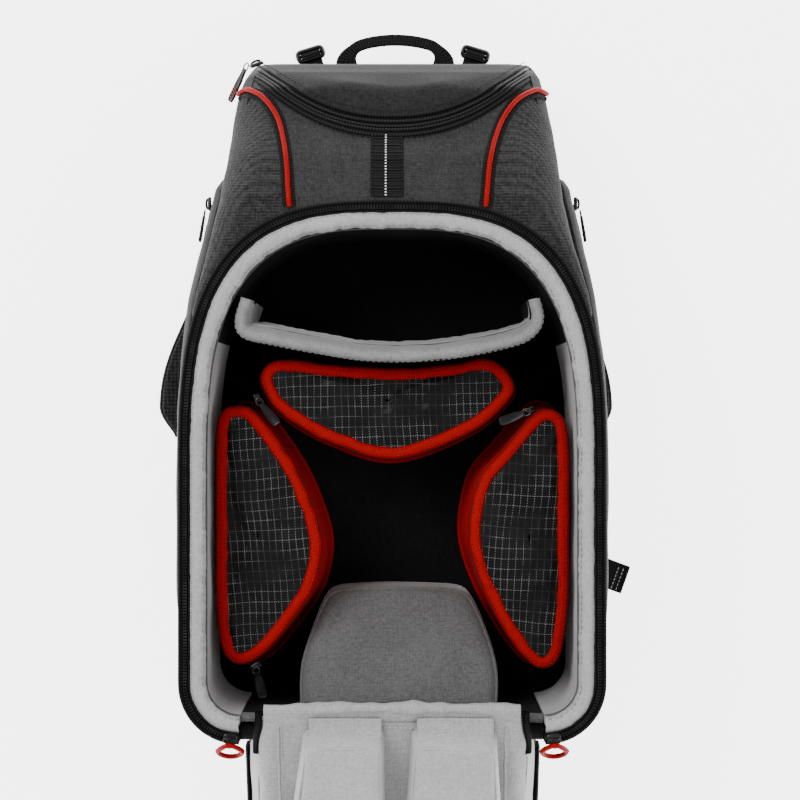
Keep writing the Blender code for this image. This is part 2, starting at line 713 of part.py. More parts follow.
def make_flap():
    hinge = FLAP_HINGE
    shell = middle_outline(0.010)
    rings = [[flap_point(p.x, p.y, n) for p in shell] for n in FLAP_SHELL]
    add_mesh("flap_shell", *loft(rings), "outer_fabric", hinge)
    lining = middle_outline(0.004)
    rings = [[flap_point(p.x, p.y, n) for p in lining] for n in FLAP_LINING]
    add_mesh("flap_lining", *loft(rings), "flap_grey", hinge)
    for name, sign in (("left", -1), ("right", 1)):
        outline = [Vector((sign * p.x, p.y)) for p in wing_outline()]
        rings = [[wing_point(p.x, p.y, n) for p in outline] for n in (FLAP_SHELL[0], FLAP_LINING[1])]
        pivot = flap_point(sign * (FLAP_CREASE + GAP), 0.0, WING_PIVOT_N)
        add_mesh("flap_wing_" + name, *loft(rings), "outer_fabric", pivot)
    pockets = (("left", ((-0.068, 0.014), (-0.006, 0.014), (-0.005, 0.128), (-0.084, 0.128))),
               ("right", ((0.015, 0.014), (0.080, 0.014), (0.088, 0.128), (0.008, 0.128))))
    for name, corners in pockets:
        mid = Vector((sum(c[0] for c in corners) / 4, sum(c[1] for c in corners) / 4))
        rings = []
        for n, scale in ((-0.0002, 1.0), (0.012, 0.99), (0.022, 0.93), (0.027, 0.78)):
            loop = soft_quad([mid + (Vector(c) - mid) * scale for c in corners], 0.010)
            rings.append([flap_point(p.x, p.y, n) for p in loop])
        add_mesh("battery_pocket_" + name, *loft(rings), "flap_grey", hinge)


def soft_quad(corners, radius):
    """Quadrilateral with its corners cut back to short curves."""
    out = []
    for i, corner in enumerate(corners):
        before = (corners[i - 1] - corner).normalized() * radius
        after = (corners[(i + 1) % 4] - corner).normalized() * radius
        for t in (0.0, 0.33, 0.67, 1.0):
            out.append(corner + before * (1 - t) ** 2 + after * t ** 2)
    return out


# ---------------------------------------------------------------- fittings inside the bay
POUCHES = {
    "top": {
        "outline": ((-0.103, 0.020), (-0.089, 0.031), (-0.045, 0.0270), (0.0055, 0.0245), (0.045, 0.0275),
                    (0.077, 0.0316), (0.094, 0.016), (0.091, 0.0), (0.061, -0.025), (0.0016, -0.046),
                    (-0.050, -0.032), (-0.085, -0.012), (-0.099, 0.004)),
        "anchor": (0.0, 0.0316),
        "hinge": (0.0, 0.0330),
        "zip": (-0.1070, 0.0010, (0.35, -1.0, 0.0), (0.80, -1.0, 0.0)),
    },
    "left": {
        "outline": ((-0.1385, -0.030), (-0.134, -0.0095), (-0.121, -0.0055), (-0.107, -0.012),
                    (-0.081, -0.047), (-0.0655, -0.079), (-0.0565, -0.112), (-0.062, -0.145),
                    (-0.077, -0.170), (-0.101, -0.199), (-0.121, -0.2085), (-0.1335, -0.197),
                    (-0.1385, -0.160), (-0.1390, -0.100)),
        "anchor": (-0.139, -0.045),
        "hinge": (-0.1400, -0.100),
        "zip": (-0.1085, -0.2110, (0.75, 0.5, 0.0), (0.25, -1.0, -0.20)),
    },
    "right": {
        "outline": ((0.121, -0.008), (0.134, -0.014), (0.1385, -0.034), (0.1390, -0.100),
                    (0.1385, -0.158), (0.132, -0.201), (0.117, -0.2116), (0.100, -0.197),
                    (0.0805, -0.166), (0.065, -0.130), (0.061, -0.100), (0.069, -0.063),
                    (0.088, -0.0395), (0.108, -0.016)),
        "anchor": (0.139, -0.100),
        "hinge": (0.1400, -0.100),
        "zip": (0.1090, -0.0085, (-1.0, -0.7, 0.0), (-0.95, -0.35, -0.10)),
    },
}


def make_pouch(name, spec):
    """Box-shaped organiser: open tray with flared walls, and a windowed lid that zips round."""
    top = anticlockwise(smooth_loop([Vector(p) for p in spec["outline"]], 4))
    anchor = Vector(spec["anchor"])
    base = [anchor + (p - anchor) * POUCH_FLARE for p in top]
    rings = [at_height(base, BASE_Z), at_height(top, POUCH_TOP),
             at_height(grow(top, -POUCH_WALL), POUCH_TOP),
             at_height(grow(base, -POUCH_WALL), BASE_Z + POUCH_WALL)]
    add_mesh("pouch_tray_" + name, *loft(rings), "red_trim")

    low = POUCH_TOP + GAP
    hinge_x, hinge_y = spec["hinge"]
    rings = [at_height(top, low), at_height(grow(top, 0.0004), low + 0.0030),
             at_height(grow(top, -0.0016), low + 0.0070), at_height(grow(top, -0.0048), low + POUCH_LID_THICK),
             at_height(grow(top, -0.0074), low + 0.0052)]
    add_mesh("pouch_lid_" + name, *loft(rings), "red_trim", (hinge_x, hinge_y, low + POUCH_LID_THICK))

    x, y, along, hang = spec["zip"]
    z = POUCH_TOP - 0.0020
    slider("pouch_slider_" + name, (x, y, z), along, size=(0.009, 0.006, 0.0030))
    hinge = Vector((x, y, z + 0.0054))
    pull_tab("pouch_pull_" + name, hinge, hang, Vector((0, 0, 1)).cross(Vector(hang)), 0.026, 0.0075)


def thick_path(path, thickness):
    """Plan outline of a wall of even thickness along an open path."""
    near = []
    far = []
    count = len(path)
    for i, point in enumerate(path):
        ahead = (path[min(i + 1, count - 1)] - path[max(i - 1, 0)]).normalized()
        normal = Vector((ahead.y, -ahead.x)) * (thickness / 2)
        near.append(point + normal)
        far.append(point - normal)
    return anticlockwise(near + list(reversed(far)))


def make_cradle():
    """Curved padded divider that holds the remote controller against the arch."""
    route = ((-0.1120, 0.0780), (-0.1165, 0.0620), (-0.1130, 0.0525), (-0.0930, 0.0475), (-0.0560, 0.0405),
             (-0.0200, 0.0352), (0.0150, 0.0345), (0.0500, 0.0375), (0.0860, 0.0445), (0.1040, 0.0510),
             (0.1120, 0.0620), (0.1095, 0.0780))
    path = smooth_path([Vector(p) for p in route], 3)
    wall = thick_path(path, CRADLE_THICK)
    rim = thick_path(path, CRADLE_THICK - 0.003)
    rings = [at_height(wall, BASE_Z + 0.0007), at_height(wall, CRADLE_TOP - 0.002), at_height(rim, CRADLE_TOP)]
    add_mesh("controller_cradle", *loft(rings), "lining_grey")


def make_bolster():
    """Loose pad at the lower end of the bay, sloping down towards the middle."""
    loop = [Vector(p) for p in ((-0.0735, -0.2415), (0.0840, -0.2415), (0.0840, -0.2080), (0.0660, -0.1620),
                                (0.0450, -0.1520), (-0.0380, -0.1520), (-0.0560, -0.1620),
                                (-0.0735, -0.2080))]
    mid = Vector((0.0, -0.200))
    rings = []
    for level, scale in ((0.0, 1.0), (0.80, 1.0), (0.94, 0.96), (1.0, 0.84)):
        ring = []
        for p in loop:
            q = mid + (p - mid) * scale
            crest = 0.160 - 0.060 * (q.y + 0.2415) / 0.0895
            ring.append(Vector((q.x, q.y, BASE_Z + (crest - BASE_Z) * level)))
        rings.append(ring)
    add_mesh("bay_bolster", *loft(rings), "flap_grey")


def main():
    clear_scene()
    make_back()
    make_shell()
    make_linings()
    make_main_zip()
    make_lid()
    make_hood_trim()
    make_main_pulls()
    make_lid_pull()
    make_side_pockets()
    make_handle()
    make_harness()
    make_flap()
    for name, spec in POUCHES.items():
        make_pouch(name, spec)
    make_cradle()
    make_bolster()


main()
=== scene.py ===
"""Looks of the open drone backpack: fabric, padding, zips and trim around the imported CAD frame.

Metres, in the CAD's own frame: +Z up out of the open bay, +Y towards the head end.
"""
import math

import bmesh
import bpy
import numpy as np
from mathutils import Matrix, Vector, noise


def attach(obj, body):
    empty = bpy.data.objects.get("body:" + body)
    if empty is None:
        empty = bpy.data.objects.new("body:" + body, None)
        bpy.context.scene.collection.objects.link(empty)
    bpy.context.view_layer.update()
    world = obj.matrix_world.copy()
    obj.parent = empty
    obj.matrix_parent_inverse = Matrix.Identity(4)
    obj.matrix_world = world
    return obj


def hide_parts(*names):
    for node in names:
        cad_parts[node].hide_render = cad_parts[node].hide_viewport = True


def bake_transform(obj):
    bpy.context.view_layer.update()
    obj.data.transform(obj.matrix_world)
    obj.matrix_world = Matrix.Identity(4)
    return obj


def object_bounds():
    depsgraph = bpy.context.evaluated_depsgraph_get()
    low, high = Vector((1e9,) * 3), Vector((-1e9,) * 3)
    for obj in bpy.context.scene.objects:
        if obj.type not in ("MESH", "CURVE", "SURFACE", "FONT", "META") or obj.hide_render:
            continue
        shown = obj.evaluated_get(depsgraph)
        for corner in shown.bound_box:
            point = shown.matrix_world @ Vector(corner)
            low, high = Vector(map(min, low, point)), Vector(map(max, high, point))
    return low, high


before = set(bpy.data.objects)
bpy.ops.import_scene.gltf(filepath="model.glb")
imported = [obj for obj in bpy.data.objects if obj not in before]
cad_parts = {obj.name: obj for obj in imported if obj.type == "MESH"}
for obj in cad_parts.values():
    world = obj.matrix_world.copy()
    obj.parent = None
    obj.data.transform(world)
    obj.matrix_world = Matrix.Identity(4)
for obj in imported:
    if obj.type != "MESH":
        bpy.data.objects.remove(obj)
CAD_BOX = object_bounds()
TAU = 2 * math.pi
UP = Vector((0.0, 0.0, 1.0))
TOOTH_STEP = 0.0023
SIDES = (("left", -1), ("right", 1))


# ---------------------------------------------------------------- camera, lights, floor
CAMERA_AT, CAMERA_LENS, SENSOR = (0.006, 0.0, 2.0), 105.4, 36.0
FLOOR_HALF, FLOOR_GLOW, WORLD_GLOW = 40, 4.0, 0.85
LIGHTS = (("key", (-1.3, 1.0, 2.3), 1.2, 52.0), ("fill", (1.5, -0.6, 2.2), 1.8, 16.0),
          ("rim", (0.2, 2.0, 1.6), 1.2, 3.0))


def placed(name, data, place):
    obj = bpy.data.objects.new(name, data)
    bpy.context.scene.collection.objects.link(obj)
    obj.location = place
    return obj


def make_stage():
    cam = placed("camera", bpy.data.cameras.new("camera"), CAMERA_AT)
    cam.data.sensor_width, cam.data.lens = SENSOR, CAMERA_LENS
    bpy.context.scene.camera = cam

    half = FLOOR_HALF
    mesh = bpy.data.meshes.new("floor")
    mesh.from_pydata([(-half, -half, 0), (half, -half, 0), (half, half, 0), (-half, half, 0)], [],
                     [(0, 1, 2, 3)])
    mat = bpy.data.materials.new("pale_floor")
    mat.use_nodes = True
    shader = mat.node_tree.nodes["Principled BSDF"]
    for socket, value in (("Base Color", (0.93, 0.93, 0.93, 1)), ("Roughness", 0.9),
                          ("Emission Color", (1.0, 1.0, 1.0, 1)), ("Emission Strength", FLOOR_GLOW)):
        shader.inputs[socket].default_value = value
    mesh.materials.append(mat)
    placed("floor", mesh, (0.0, 0.0, CAD_BOX[0].z - 0.0006))

    world = bpy.data.worlds.new("studio")
    world.use_nodes = True
    background = world.node_tree.nodes["Background"]
    background.inputs["Color"].default_value = (1.0, 1.0, 1.0, 1)
    background.inputs["Strength"].default_value = WORLD_GLOW
    bpy.context.scene.world = world
    for name, place, size, power in LIGHTS:
        light = bpy.data.lights.new(name, "AREA")
        light.size, light.energy = size, power
        lamp = placed(name, light, place)
        aim = Vector((0.0, 0.0, 0.1)) - lamp.location
        lamp.rotation_euler = aim.to_track_quat("-Z", "Y").to_euler()


# ---------------------------------------------------------------- materials
class Graph:
    """Short names for the few node kinds that the fabrics need."""

    def __init__(self, name, roughness, specular, metallic=0.0):
        self.mat = bpy.data.materials.new(name)
        self.mat.use_nodes = True
        self.tree = self.mat.node_tree
        self.shader = self.tree.nodes["Principled BSDF"]
        self.set(self.shader, Roughness=roughness, Metallic=metallic)
        self.shader.inputs["Specular IOR Level"].default_value = specular

    def set(self, made, **inputs):
        for key, value in inputs.items():
            self.put(made.inputs[key.replace("_", " ")], value)
        return made

    def node(self, kind, **inputs):
        return self.set(self.tree.nodes.new(kind), **inputs)

    def put(self, socket, value):
        if isinstance(value, bpy.types.NodeSocket):
            self.tree.links.new(value, socket)
        else:
            socket.default_value = value

    def math(self, operation, a, b=0.0, c=0.0):
        made = self.tree.nodes.new("ShaderNodeMath")
        made.operation = operation
        for socket, value in zip(made.inputs, (a, b, c)):
            self.put(socket, value)
        return made.outputs[0]

    def add(self, *terms):
        total = terms[0]
        for term in terms[1:]:
            total = self.math("ADD", total, term)
        return total

    def times(self, a, b):
        return self.math("MULTIPLY", a, b)

    def coords(self, source="Object", scale=1.0):
        """Object coordinates (the CAD frame) or the UV map, which holds metres, times a scale."""
        tex = self.tree.nodes.new("ShaderNodeTexCoord")
        made = self.tree.nodes.new("ShaderNodeVectorMath")
        made.operation = "MULTIPLY"
        self.tree.links.new(tex.outputs[source], made.inputs[0])
        made.inputs[1].default_value = scale if hasattr(scale, "__len__") else (scale,) * 3
        return made.outputs[0]

    def split(self, vector):
        made = self.tree.nodes.new("ShaderNodeSeparateXYZ")
        self.tree.links.new(vector, made.inputs[0])
        return made.outputs

    def noise(self, scale, detail=3.0, stretch=1.0):
        made = self.node("ShaderNodeTexNoise", Vector=self.coords("Object", stretch), Scale=scale, Detail=detail)
        return made.outputs["Fac"]

    def blend(self, factor, low, high):
        made = self.tree.nodes.new("ShaderNodeMix")
        made.data_type = "RGBA"
        self.set(made, Factor=factor)
        self.put(made.inputs["A"], low)
        self.put(made.inputs["B"], high)
        return made.outputs["Result"]

    def stretch(self, value, low, high, to_low=0.0, to_high=1.0):
        return self.node("ShaderNodeMapRange", Value=value, From_Min=low, From_Max=high, To_Min=to_low,
                         To_Max=to_high).outputs[0]

    def finish(self, colour, height, distance, strength=0.7):
        self.put(self.shader.inputs["Base Color"], colour)
        bump = self.node("ShaderNodeBump", Height=height, Distance=distance, Strength=strength)
        self.tree.links.new(bump.outputs[0], self.shader.inputs["Normal"])
        return self.mat


def grey(value):
    return (value, value, value * 1.01, 1.0)


def woven(name, dark, light, pitch=0.0024, rough=0.85, depth=0.0001, sheen=0.0, wear=0.12, weave=0.1,
          ratio=(1.0, 1.0, 1.0)):
    """Cloth: uneven threads running both ways over a regular weave, with mottling and slight wear."""
    g = Graph(name, rough, specular=0.18)
    if sheen:
        g.set(g.shader, Sheen_Weight=sheen, Sheen_Roughness=0.4)
    axes = g.split(g.coords("Object", tuple(TAU / pitch * r for r in ratio)))
    waves = g.add(*(g.math("SINE", axis) for axis in axes))
    warp = g.noise(620.0, 2.0, (0.35, 1.6, 1.6))
    weft = g.noise(620.0, 2.0, (1.6, 0.35, 0.6))
    threads = g.times(g.math("SUBTRACT", g.add(warp, weft), 1.0), 5.0)
    cloud = g.noise(24.0, 4.0)
    height = g.stretch(g.add(g.times(waves, weave), threads), -2.0, 2.0)
    tone = g.add(height, g.times(g.math("SUBTRACT", cloud, 0.5), wear * 6))
    return g.finish(g.blend(tone, dark, light), height, depth)


def ribbed(name, dark, light, pitch, rough=0.7, depth=0.0003, across=1.0, fleck=0.8):
    """Webbing, tape and coil texture: ribs across the run, with a finer broken rib along it."""
    g = Graph(name, rough, specular=0.08)
    x, y, _ = g.split(g.coords("UV", TAU / pitch))
    fine = g.math("SINE", g.times(y, across))
    height = g.stretch(g.add(g.math("SINE", x), g.times(fine, 0.5), g.times(g.noise(700.0, 2.0), fleck)), -1.2, 2.2)
    return g.finish(g.blend(height, dark, light), height, depth)


def plain(name, colour, rough, metallic=0.0, vary=0.25, grain=1500.0):
    """Moulded or plated surface with fine grain and slight handling wear."""
    g = Graph(name, rough, 0.2, metallic)
    speck = g.noise(grain, 2.0)
    cloud = g.noise(90.0, 3.0)
    worn = tuple(min(1.0, c * (1 + vary) + 0.01) for c in colour[:3]) + (1.0,)
    g.set(g.shader, Roughness=g.stretch(cloud, 0.3, 0.7, rough * 0.8, min(1.0, rough * 1.25)))
    return g.finish(g.blend(g.stretch(cloud, 0.45, 0.75), colour, worn), speck, 0.00004, 0.4)


def ripstop(name, turn):
    """Black window mesh under clear film, with fine white threads in a dotted grid."""
    g = Graph(name, 0.45, specular=0.10)
    c, s = math.cos(turn), math.sin(turn)
    x, y, _ = g.split(g.coords())
    bend = g.times(g.math("SUBTRACT", g.noise(16.0, 1.0), 0.5), 0.006)
    u = g.add(g.times(x, c), g.times(y, s), bend)
    v = g.add(g.math("SUBTRACT", g.times(y, c), g.times(x, s)), bend)
    lines = []
    for across, along, step in ((u, v, 0.0054), (v, u, 0.0082)):
        cell = g.math("ABSOLUTE", g.math("SUBTRACT", g.math("FRACT", g.math("DIVIDE", across, step)), 0.5))
        width = 0.00020 / step
        dots = g.stretch(g.math("SINE", g.times(along, TAU / 0.0019)), -0.2, 0.4)
        lines.append(g.times(g.stretch(cell, width * 1.3, width * 0.7), dots))
    grid = g.times(g.math("MAXIMUM", *lines), g.stretch(g.noise(48.0, 3.0), 0.38, 0.60, 0.12, 1.0))
    fine = g.times(*(g.math("SINE", g.times(axis, TAU / 0.0013)) for axis in (u, v)))
    cloud = g.noise(30.0, 3.0)
    base = g.blend(g.stretch(g.add(g.times(fine, 0.5), g.times(cloud, 2.2)), 0.6, 2.2), grey(0.0008), grey(0.008))
    g.set(g.shader, Coat_Weight=0.05, Coat_Roughness=0.12)
    return g.finish(g.blend(grid, base, grey(0.26)), g.add(fine, grid), 0.00012)


def thread(name, colour, rough=0.7):
    return plain(name, colour, rough, grain=3000.0)


def make_materials():
    red_dark, red = (0.15, 0.0004, 0.0003, 1.0), (0.43, 0.0008, 0.0005, 1.0)
    return {
        "outer": woven("charcoal_weave", grey(0.011), grey(0.045), 0.0023, depth=0.0002, wear=0.10, weave=0.12),
        "outer_lid": woven("charcoal_weave_lid", grey(0.007), grey(0.028), 0.0023, depth=0.0002, wear=0.10,
                           weave=0.12),
        "side": woven("charcoal_ribbed", grey(0.004), grey(0.046), 0.0023, depth=0.0004, weave=0.6, wear=0.08,
                      ratio=(0.0, 1.0, 0.7)),
        "lining": woven("grey_velour", grey(0.30), grey(0.46), sheen=0.3),
        "lining_soft": woven("grey_velour_cradle", grey(0.17), grey(0.30), sheen=0.3),
        # painted shade: a near-black copy of the lining cloth, dyed onto lining walls below the roll where shade falls
        "lining_shade": woven("painted_shade_bay_wall", grey(0.004), grey(0.020)),
        "flap": woven("grey_twill", grey(0.28), grey(0.46), wear=0.06, weave=0.2),
        # painted light: a brighter copy of the flap's grey twill, for the battery pockets' lit faces
        "pocket": woven("grey_twill_painted_light", grey(0.34), grey(0.52), wear=0.06, weave=0.15),
        "brushed": woven("grey_brushed_tricot", grey(0.065), grey(0.140), sheen=0.3),
        "floor": woven("black_loop", grey(0.0015), grey(0.006), 0.0022, rough=0.98, depth=0.0002, weave=0.5),
        "mesh": woven("black_air_mesh", grey(0.0015), grey(0.030), 0.0032, depth=0.0010, rough=0.9, weave=0.9),
        "red_wall": woven("red_nylon", (0.20, 0.0010, 0.0006, 1), (0.60, 0.0030, 0.0012, 1), 0.0022,
                          rough=0.65, wear=0.14, weave=0.15),
        "red_tape": ribbed("red_binding", red_dark, red, 0.0014, rough=0.6, depth=0.00012, fleck=0.9),
        "red_pipe": ribbed("red_piping", red_dark, red, 0.0012, rough=0.5, depth=0.00008, fleck=0.6),
        "webbing": ribbed("black_webbing", grey(0.001), grey(0.022), 0.0024, across=1.3, depth=0.0005),
        "zip_tape": ribbed("black_zip_tape", grey(0.0005), grey(0.005), 0.0014, across=0.6, depth=0.0002),
        "coil": ribbed("zip_coil", grey(0.0008), grey(0.035), 0.0024, rough=0.45, fleck=0.3),
        "teeth": plain("zip_teeth", grey(0.003), 0.42, vary=0.8),
        "plastic": plain("black_nylon", grey(0.006), 0.36),
        "metal": plain("black_plated_zinc", grey(0.022), 0.28, 1.0, vary=0.5),
        "bright": plain("worn_steel", grey(0.07), 0.28, 1.0),
        "thread_dark": thread("dark_thread", grey(0.006)),
        "thread_mid": thread("grey_thread", grey(0.10)),
        "thread_white": thread("reflective_thread", grey(0.90), 0.35),
        "thread_red": thread("red_thread", (0.30, 0.003, 0.002, 1), 0.6),
        "thread_light": thread("pale_thread", grey(0.42)),
        "tab_grey": plain("grey_thread_lining", grey(0.22), 0.6),
        "window_top": ripstop("window_ripstop_top", 0.03),
        "window_left": ripstop("window_ripstop_left", 0.08),
        "window_right": ripstop("window_ripstop_right", -0.06),
    }


# the colour slot named for each material's pieces, where the piece doesn't name another; build() looks it up but gives
# the piece nothing
SLOTS = {
    "webbing": "webbing", "zip_tape": "zip_tape", "coil": "zip_tape", "teeth": "zip_tape", "red_pipe": "red_trim",
    "red_tape": "red_trim", "red_wall": "red_trim", "thread_red": "red_trim", "metal": "slider_metal",
    "bright": "slider_metal", "plastic": "hardware", "outer": "outer_fabric", "outer_lid": "outer_fabric",
    "mesh": "back_mesh", "floor": "floor", "flap": "flap_lining", "pocket": "flap_lining", "brushed": "flap_lining",
    "tab_grey": "lining", "thread_mid": "lining",
}
MATS = make_materials()


# ---------------------------------------------------------------- mesh building
class Skin:
    """Gathers faces with a UV pair in metres at each corner; several skins can share one piece."""

    def __init__(self):
        self.verts, self.faces, self.uvs, self.kinds = [], [], [], []

    def grid(self, rows, wrap=False, close=False, caps=False, kind=None, keep=None):
        """Skin rows of points. wrap joins each row's ends, close joins the last row to the first."""
        base, count, width = len(self.verts), len(rows), len(rows[0])
        for row in rows:
            self.verts += [tuple(p) for p in row]
        along, around = [0.0], [0.0]
        for r in range(count):
            ahead = rows[(r + 1) % count]
            steps = [(Vector(ahead[c]) - Vector(rows[r][c])).length for c in (0, width // 2)]
            along.append(along[-1] + sum(steps) / 2)
        middle = rows[count // 2]
        for c in range(width):
            around.append(around[-1] + (Vector(middle[(c + 1) % width]) - Vector(middle[c])).length)
        for r in range(count if close else count - 1):
            low, high = base + r * width, base + ((r + 1) % count) * width
            for c in range(width if wrap else width - 1):
                if keep and not keep(rows[r][c]):
                    continue
                d = (c + 1) % width
                self.faces.append((low + c, low + d, high + d, high + c))
                self.uvs += [(along[r], around[c]), (along[r], around[c + 1]),
                             (along[r + 1], around[c + 1]), (along[r + 1], around[c])]
                self.kinds.append(kind(rows[r][c]) if kind else 0)
        for row, turn in ((0, -1), (count - 1, 1)) if caps else ():
            self.faces.append(tuple(range(base + row * width, base + (row + 1) * width))[::turn])
            self.uvs += [(along[row], around[c]) for c in range(width)]
            self.kinds.append(0)
        return self

    def brick(self, centre, axes, size, taper=0.8):
        """Small block on three unit axes, narrowed towards its top."""
        base = len(self.verts)
        u, v, w = axes
        for level, scale in ((-0.5, 1.0), (0.5, taper)):
            for a, b in ((-0.5, -0.5), (0.5, -0.5), (0.5, 0.5), (-0.5, 0.5)):
                p = centre + u * (a * size[0] * scale) + v * (b * size[1] * scale) + w * (level * size[2])
                self.verts.append(tuple(p))
        for face in ((0, 3, 2, 1), (4, 5, 6, 7), (0, 1, 5, 4), (1, 2, 6, 5), (2, 3, 7, 6), (3, 0, 4, 7)):
            self.faces.append(tuple(base + i for i in face))
            self.uvs += [(0.0, 0.0), (0.001, 0.0), (0.001, 0.001), (0.0, 0.001)]
            self.kinds.append(0)
        return self

    def tube(self, points, radius, sides=8, close=False, flat=1.0, up=UP):
        """Round or flattened cord through 3-D points, with closed ends."""
        turns = [TAU * k / sides for k in range(sides)]
        rings = [[point + side * (radius * math.cos(a)) + lift * (radius * flat * math.sin(a)) for a in turns]
                 for point, _, side, lift in frames(points, close, up)]
        return self.grid(rows=rings, wrap=True, close=close, caps=not close)

    def stitches(self, points, up=UP, length=0.0026, gap=0.0016, radius=0.00032):
        """Row of separate raised stitches along a path; `up` is a direction, or one per point."""
        ends = resample(points, (length + gap) / 2)
        for i in range(0, len(ends) - 2, 2):
            a, b = ends[i], ends[i + 1]
            ahead = (b - a).normalized()
            lift = Vector(up(a) if callable(up) else up).normalized()
            side = ahead.cross(lift).normalized()
            mid = (a + b) / 2 + lift * (radius * 0.35)
            self.brick(mid, (ahead, side, lift), (length, radius * 2.2, radius * 1.6), 0.7)
        return self

    def teeth(self, points, shift, size, up):
        """Zip teeth along a path; shift(point, side, lift) places each one beside it."""
        for point, ahead, side, lift in frames(points, up=up):
            self.brick(shift(point, side, lift), (ahead, side, lift), size, 0.85)
        return self

    def build(self, name, materials, body="case", nodes=(), slot=None, smooth=True, outward=False, facing=None):
        mesh = bpy.data.meshes.new(name)
        mesh.from_pydata(self.verts, [], self.faces)
        layer = mesh.uv_layers.new(name="metres")
        layer.data.foreach_set("uv", np.array(self.uvs, np.float32).reshape(-1))
        materials = [materials] if isinstance(materials, str) else materials
        for mat in materials:
            mesh.materials.append(MATS[mat])
        mesh.polygons.foreach_set("material_index", self.kinds)
        if outward:
            bm = bmesh.new()
            bm.from_mesh(mesh)
            bmesh.ops.recalc_face_normals(bm, faces=bm.faces)
            bm.to_mesh(mesh)
            bm.free()
        if facing is not None:
            toward = Vector(facing)
            if sum(poly.normal.dot(toward) * poly.area for poly in mesh.polygons) < 0:
                mesh.flip_normals()
        if smooth:
            mesh.shade_smooth()
            mesh.set_sharp_from_angle(angle=math.radians(48.0))
        obj = placed(name, mesh, (0, 0, 0))
        if body:
            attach(obj, body)
        if nodes:
            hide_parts(*([nodes] if isinstance(nodes, str) else nodes))
        slot or SLOTS[materials[0]]
        return obj


def solid(rows, name, materials, body="case", nodes=(), slot="webbing"):
    """Closed piece from rings, capped at both ends."""
    return Skin().grid(rows, wrap=True, caps=True).build(name, materials, body, nodes, slot, outward=True)


def quilt(rows, fill, *said):
    """Closed piece from rings, made by solid()."""
    made = solid(rows, *said)
    return made


def thicken(obj, thickness, offset=-1.0):
    """Give a sheet its thickness and keep the result on the mesh."""
    mod = obj.modifiers.new("solidify", "SOLIDIFY")
    mod.thickness, mod.offset = thickness, offset
    graph = bpy.context.evaluated_depsgraph_get()
    mesh = bpy.data.meshes.new_from_object(obj.evaluated_get(graph))
    obj.modifiers.clear()
    obj.data = mesh
    return obj


def dye(obj, index, test):
    """Give the faces that pass the test another of the piece's materials."""
    for poly in obj.data.polygons:
        if test(poly):
            poly.material_index = index


def span(low, high, count):
    return [float(v) for v in np.linspace(low, high, count)]


def frames(points, close=False, up=UP):
    """Point, heading, side and lift at each point of a path; lift keeps near `up`."""
    out = []
    count = len(points)
    for i, point in enumerate(points):
        if close:
            ahead = points[(i + 1) % count] - points[i - 1]
        else:
            ahead = points[min(i + 1, count - 1)] - points[max(i - 1, 0)]
        ahead = ahead.normalized()
        side = ahead.cross(Vector(up(point) if callable(up) else up)).normalized()
        out.append((point, ahead, side, side.cross(ahead)))
    return out


def resample(points, step, closed=False):
    """Points at even spacing along a path; a closed one leaves out its repeated last point."""
    pts = np.array([tuple(p) for p in (points + [points[0]] if closed else points)])
    dist = np.concatenate([[0.0], np.cumsum(np.linalg.norm(np.diff(pts, axis=0), axis=1))])
    at = np.linspace(0.0, dist[-1], max(2, int(dist[-1] / step) + 1))
    even = [Vector([np.interp(t, dist, pts[:, k]) for k in range(pts.shape[1])]) for t in at]
    return even[:-1] if closed else even


def catmull(a, b, c, d, steps):
    return [0.5 * (2 * b + (c - a) * t + (2 * a - 5 * b + 4 * c - d) * t * t + (3 * b - a - 3 * c + d) * t ** 3)
            for t in (step / steps for step in range(steps))]


def smooth_path(points, steps):
    pts = [Vector(p) for p in points]
    pts = [2 * pts[0] - pts[1]] + pts + [2 * pts[-1] - pts[-2]]
    return [p for i in range(1, len(pts) - 2) for p in catmull(*pts[i - 1:i + 3], steps)] + [pts[-2]]


def smooth_loop(points, steps):
    pts = [Vector(p) for p in points]
    return [p for i in range(len(pts)) for p in catmull(*(pts[(i + k) % len(pts)] for k in (-1, 0, 1, 2)), steps)]


def signed_area(loop):
    return sum(loop[i - 1].x * loop[i].y - loop[i].x * loop[i - 1].y for i in range(len(loop))) / 2


def grow(loop, amount):
    out = []
    for i, point in enumerate(loop):
        ahead = loop[(i + 1) % len(loop)] - loop[i - 1]
        out.append(point + Vector((ahead.y, -ahead.x)).normalized() * amount)
    return out


def at_height(loop, z):
    return [Vector((p.x, p.y, z)) for p in loop]


def rounded_rect(width, height, radius, steps=4):
    out = []
    for cx, cy, start in ((1, -1, -90), (1, 1, 0), (-1, 1, 90), (-1, -1, 180)):
        for step in range(steps + 1):
            a = math.radians(start + 90 * step / steps)
            out.append(Vector((cx * (width / 2 - radius) + radius * math.cos(a),
                               cy * (height / 2 - radius) + radius * math.sin(a))))
    return out


def wrinkle(point, scale, seed=0.0):
    """Smooth noise from -1 to 1."""
    return noise.noise(Vector(point) * scale + Vector((seed, seed * 1.7, seed * 0.3))) * 1.6


def ease(value, low, high):
    t = min(max((value - low) / (high - low), 0.0), 1.0)
    return t * t * (3 - 2 * t)


def dent(offset, width):
    """Bell curve, for seams and channels."""
    return math.exp(-(offset / width) ** 2)


def power(value, exponent):
    """Signed power, which squares off a circle."""
    return math.copysign(abs(value) ** exponent, value)


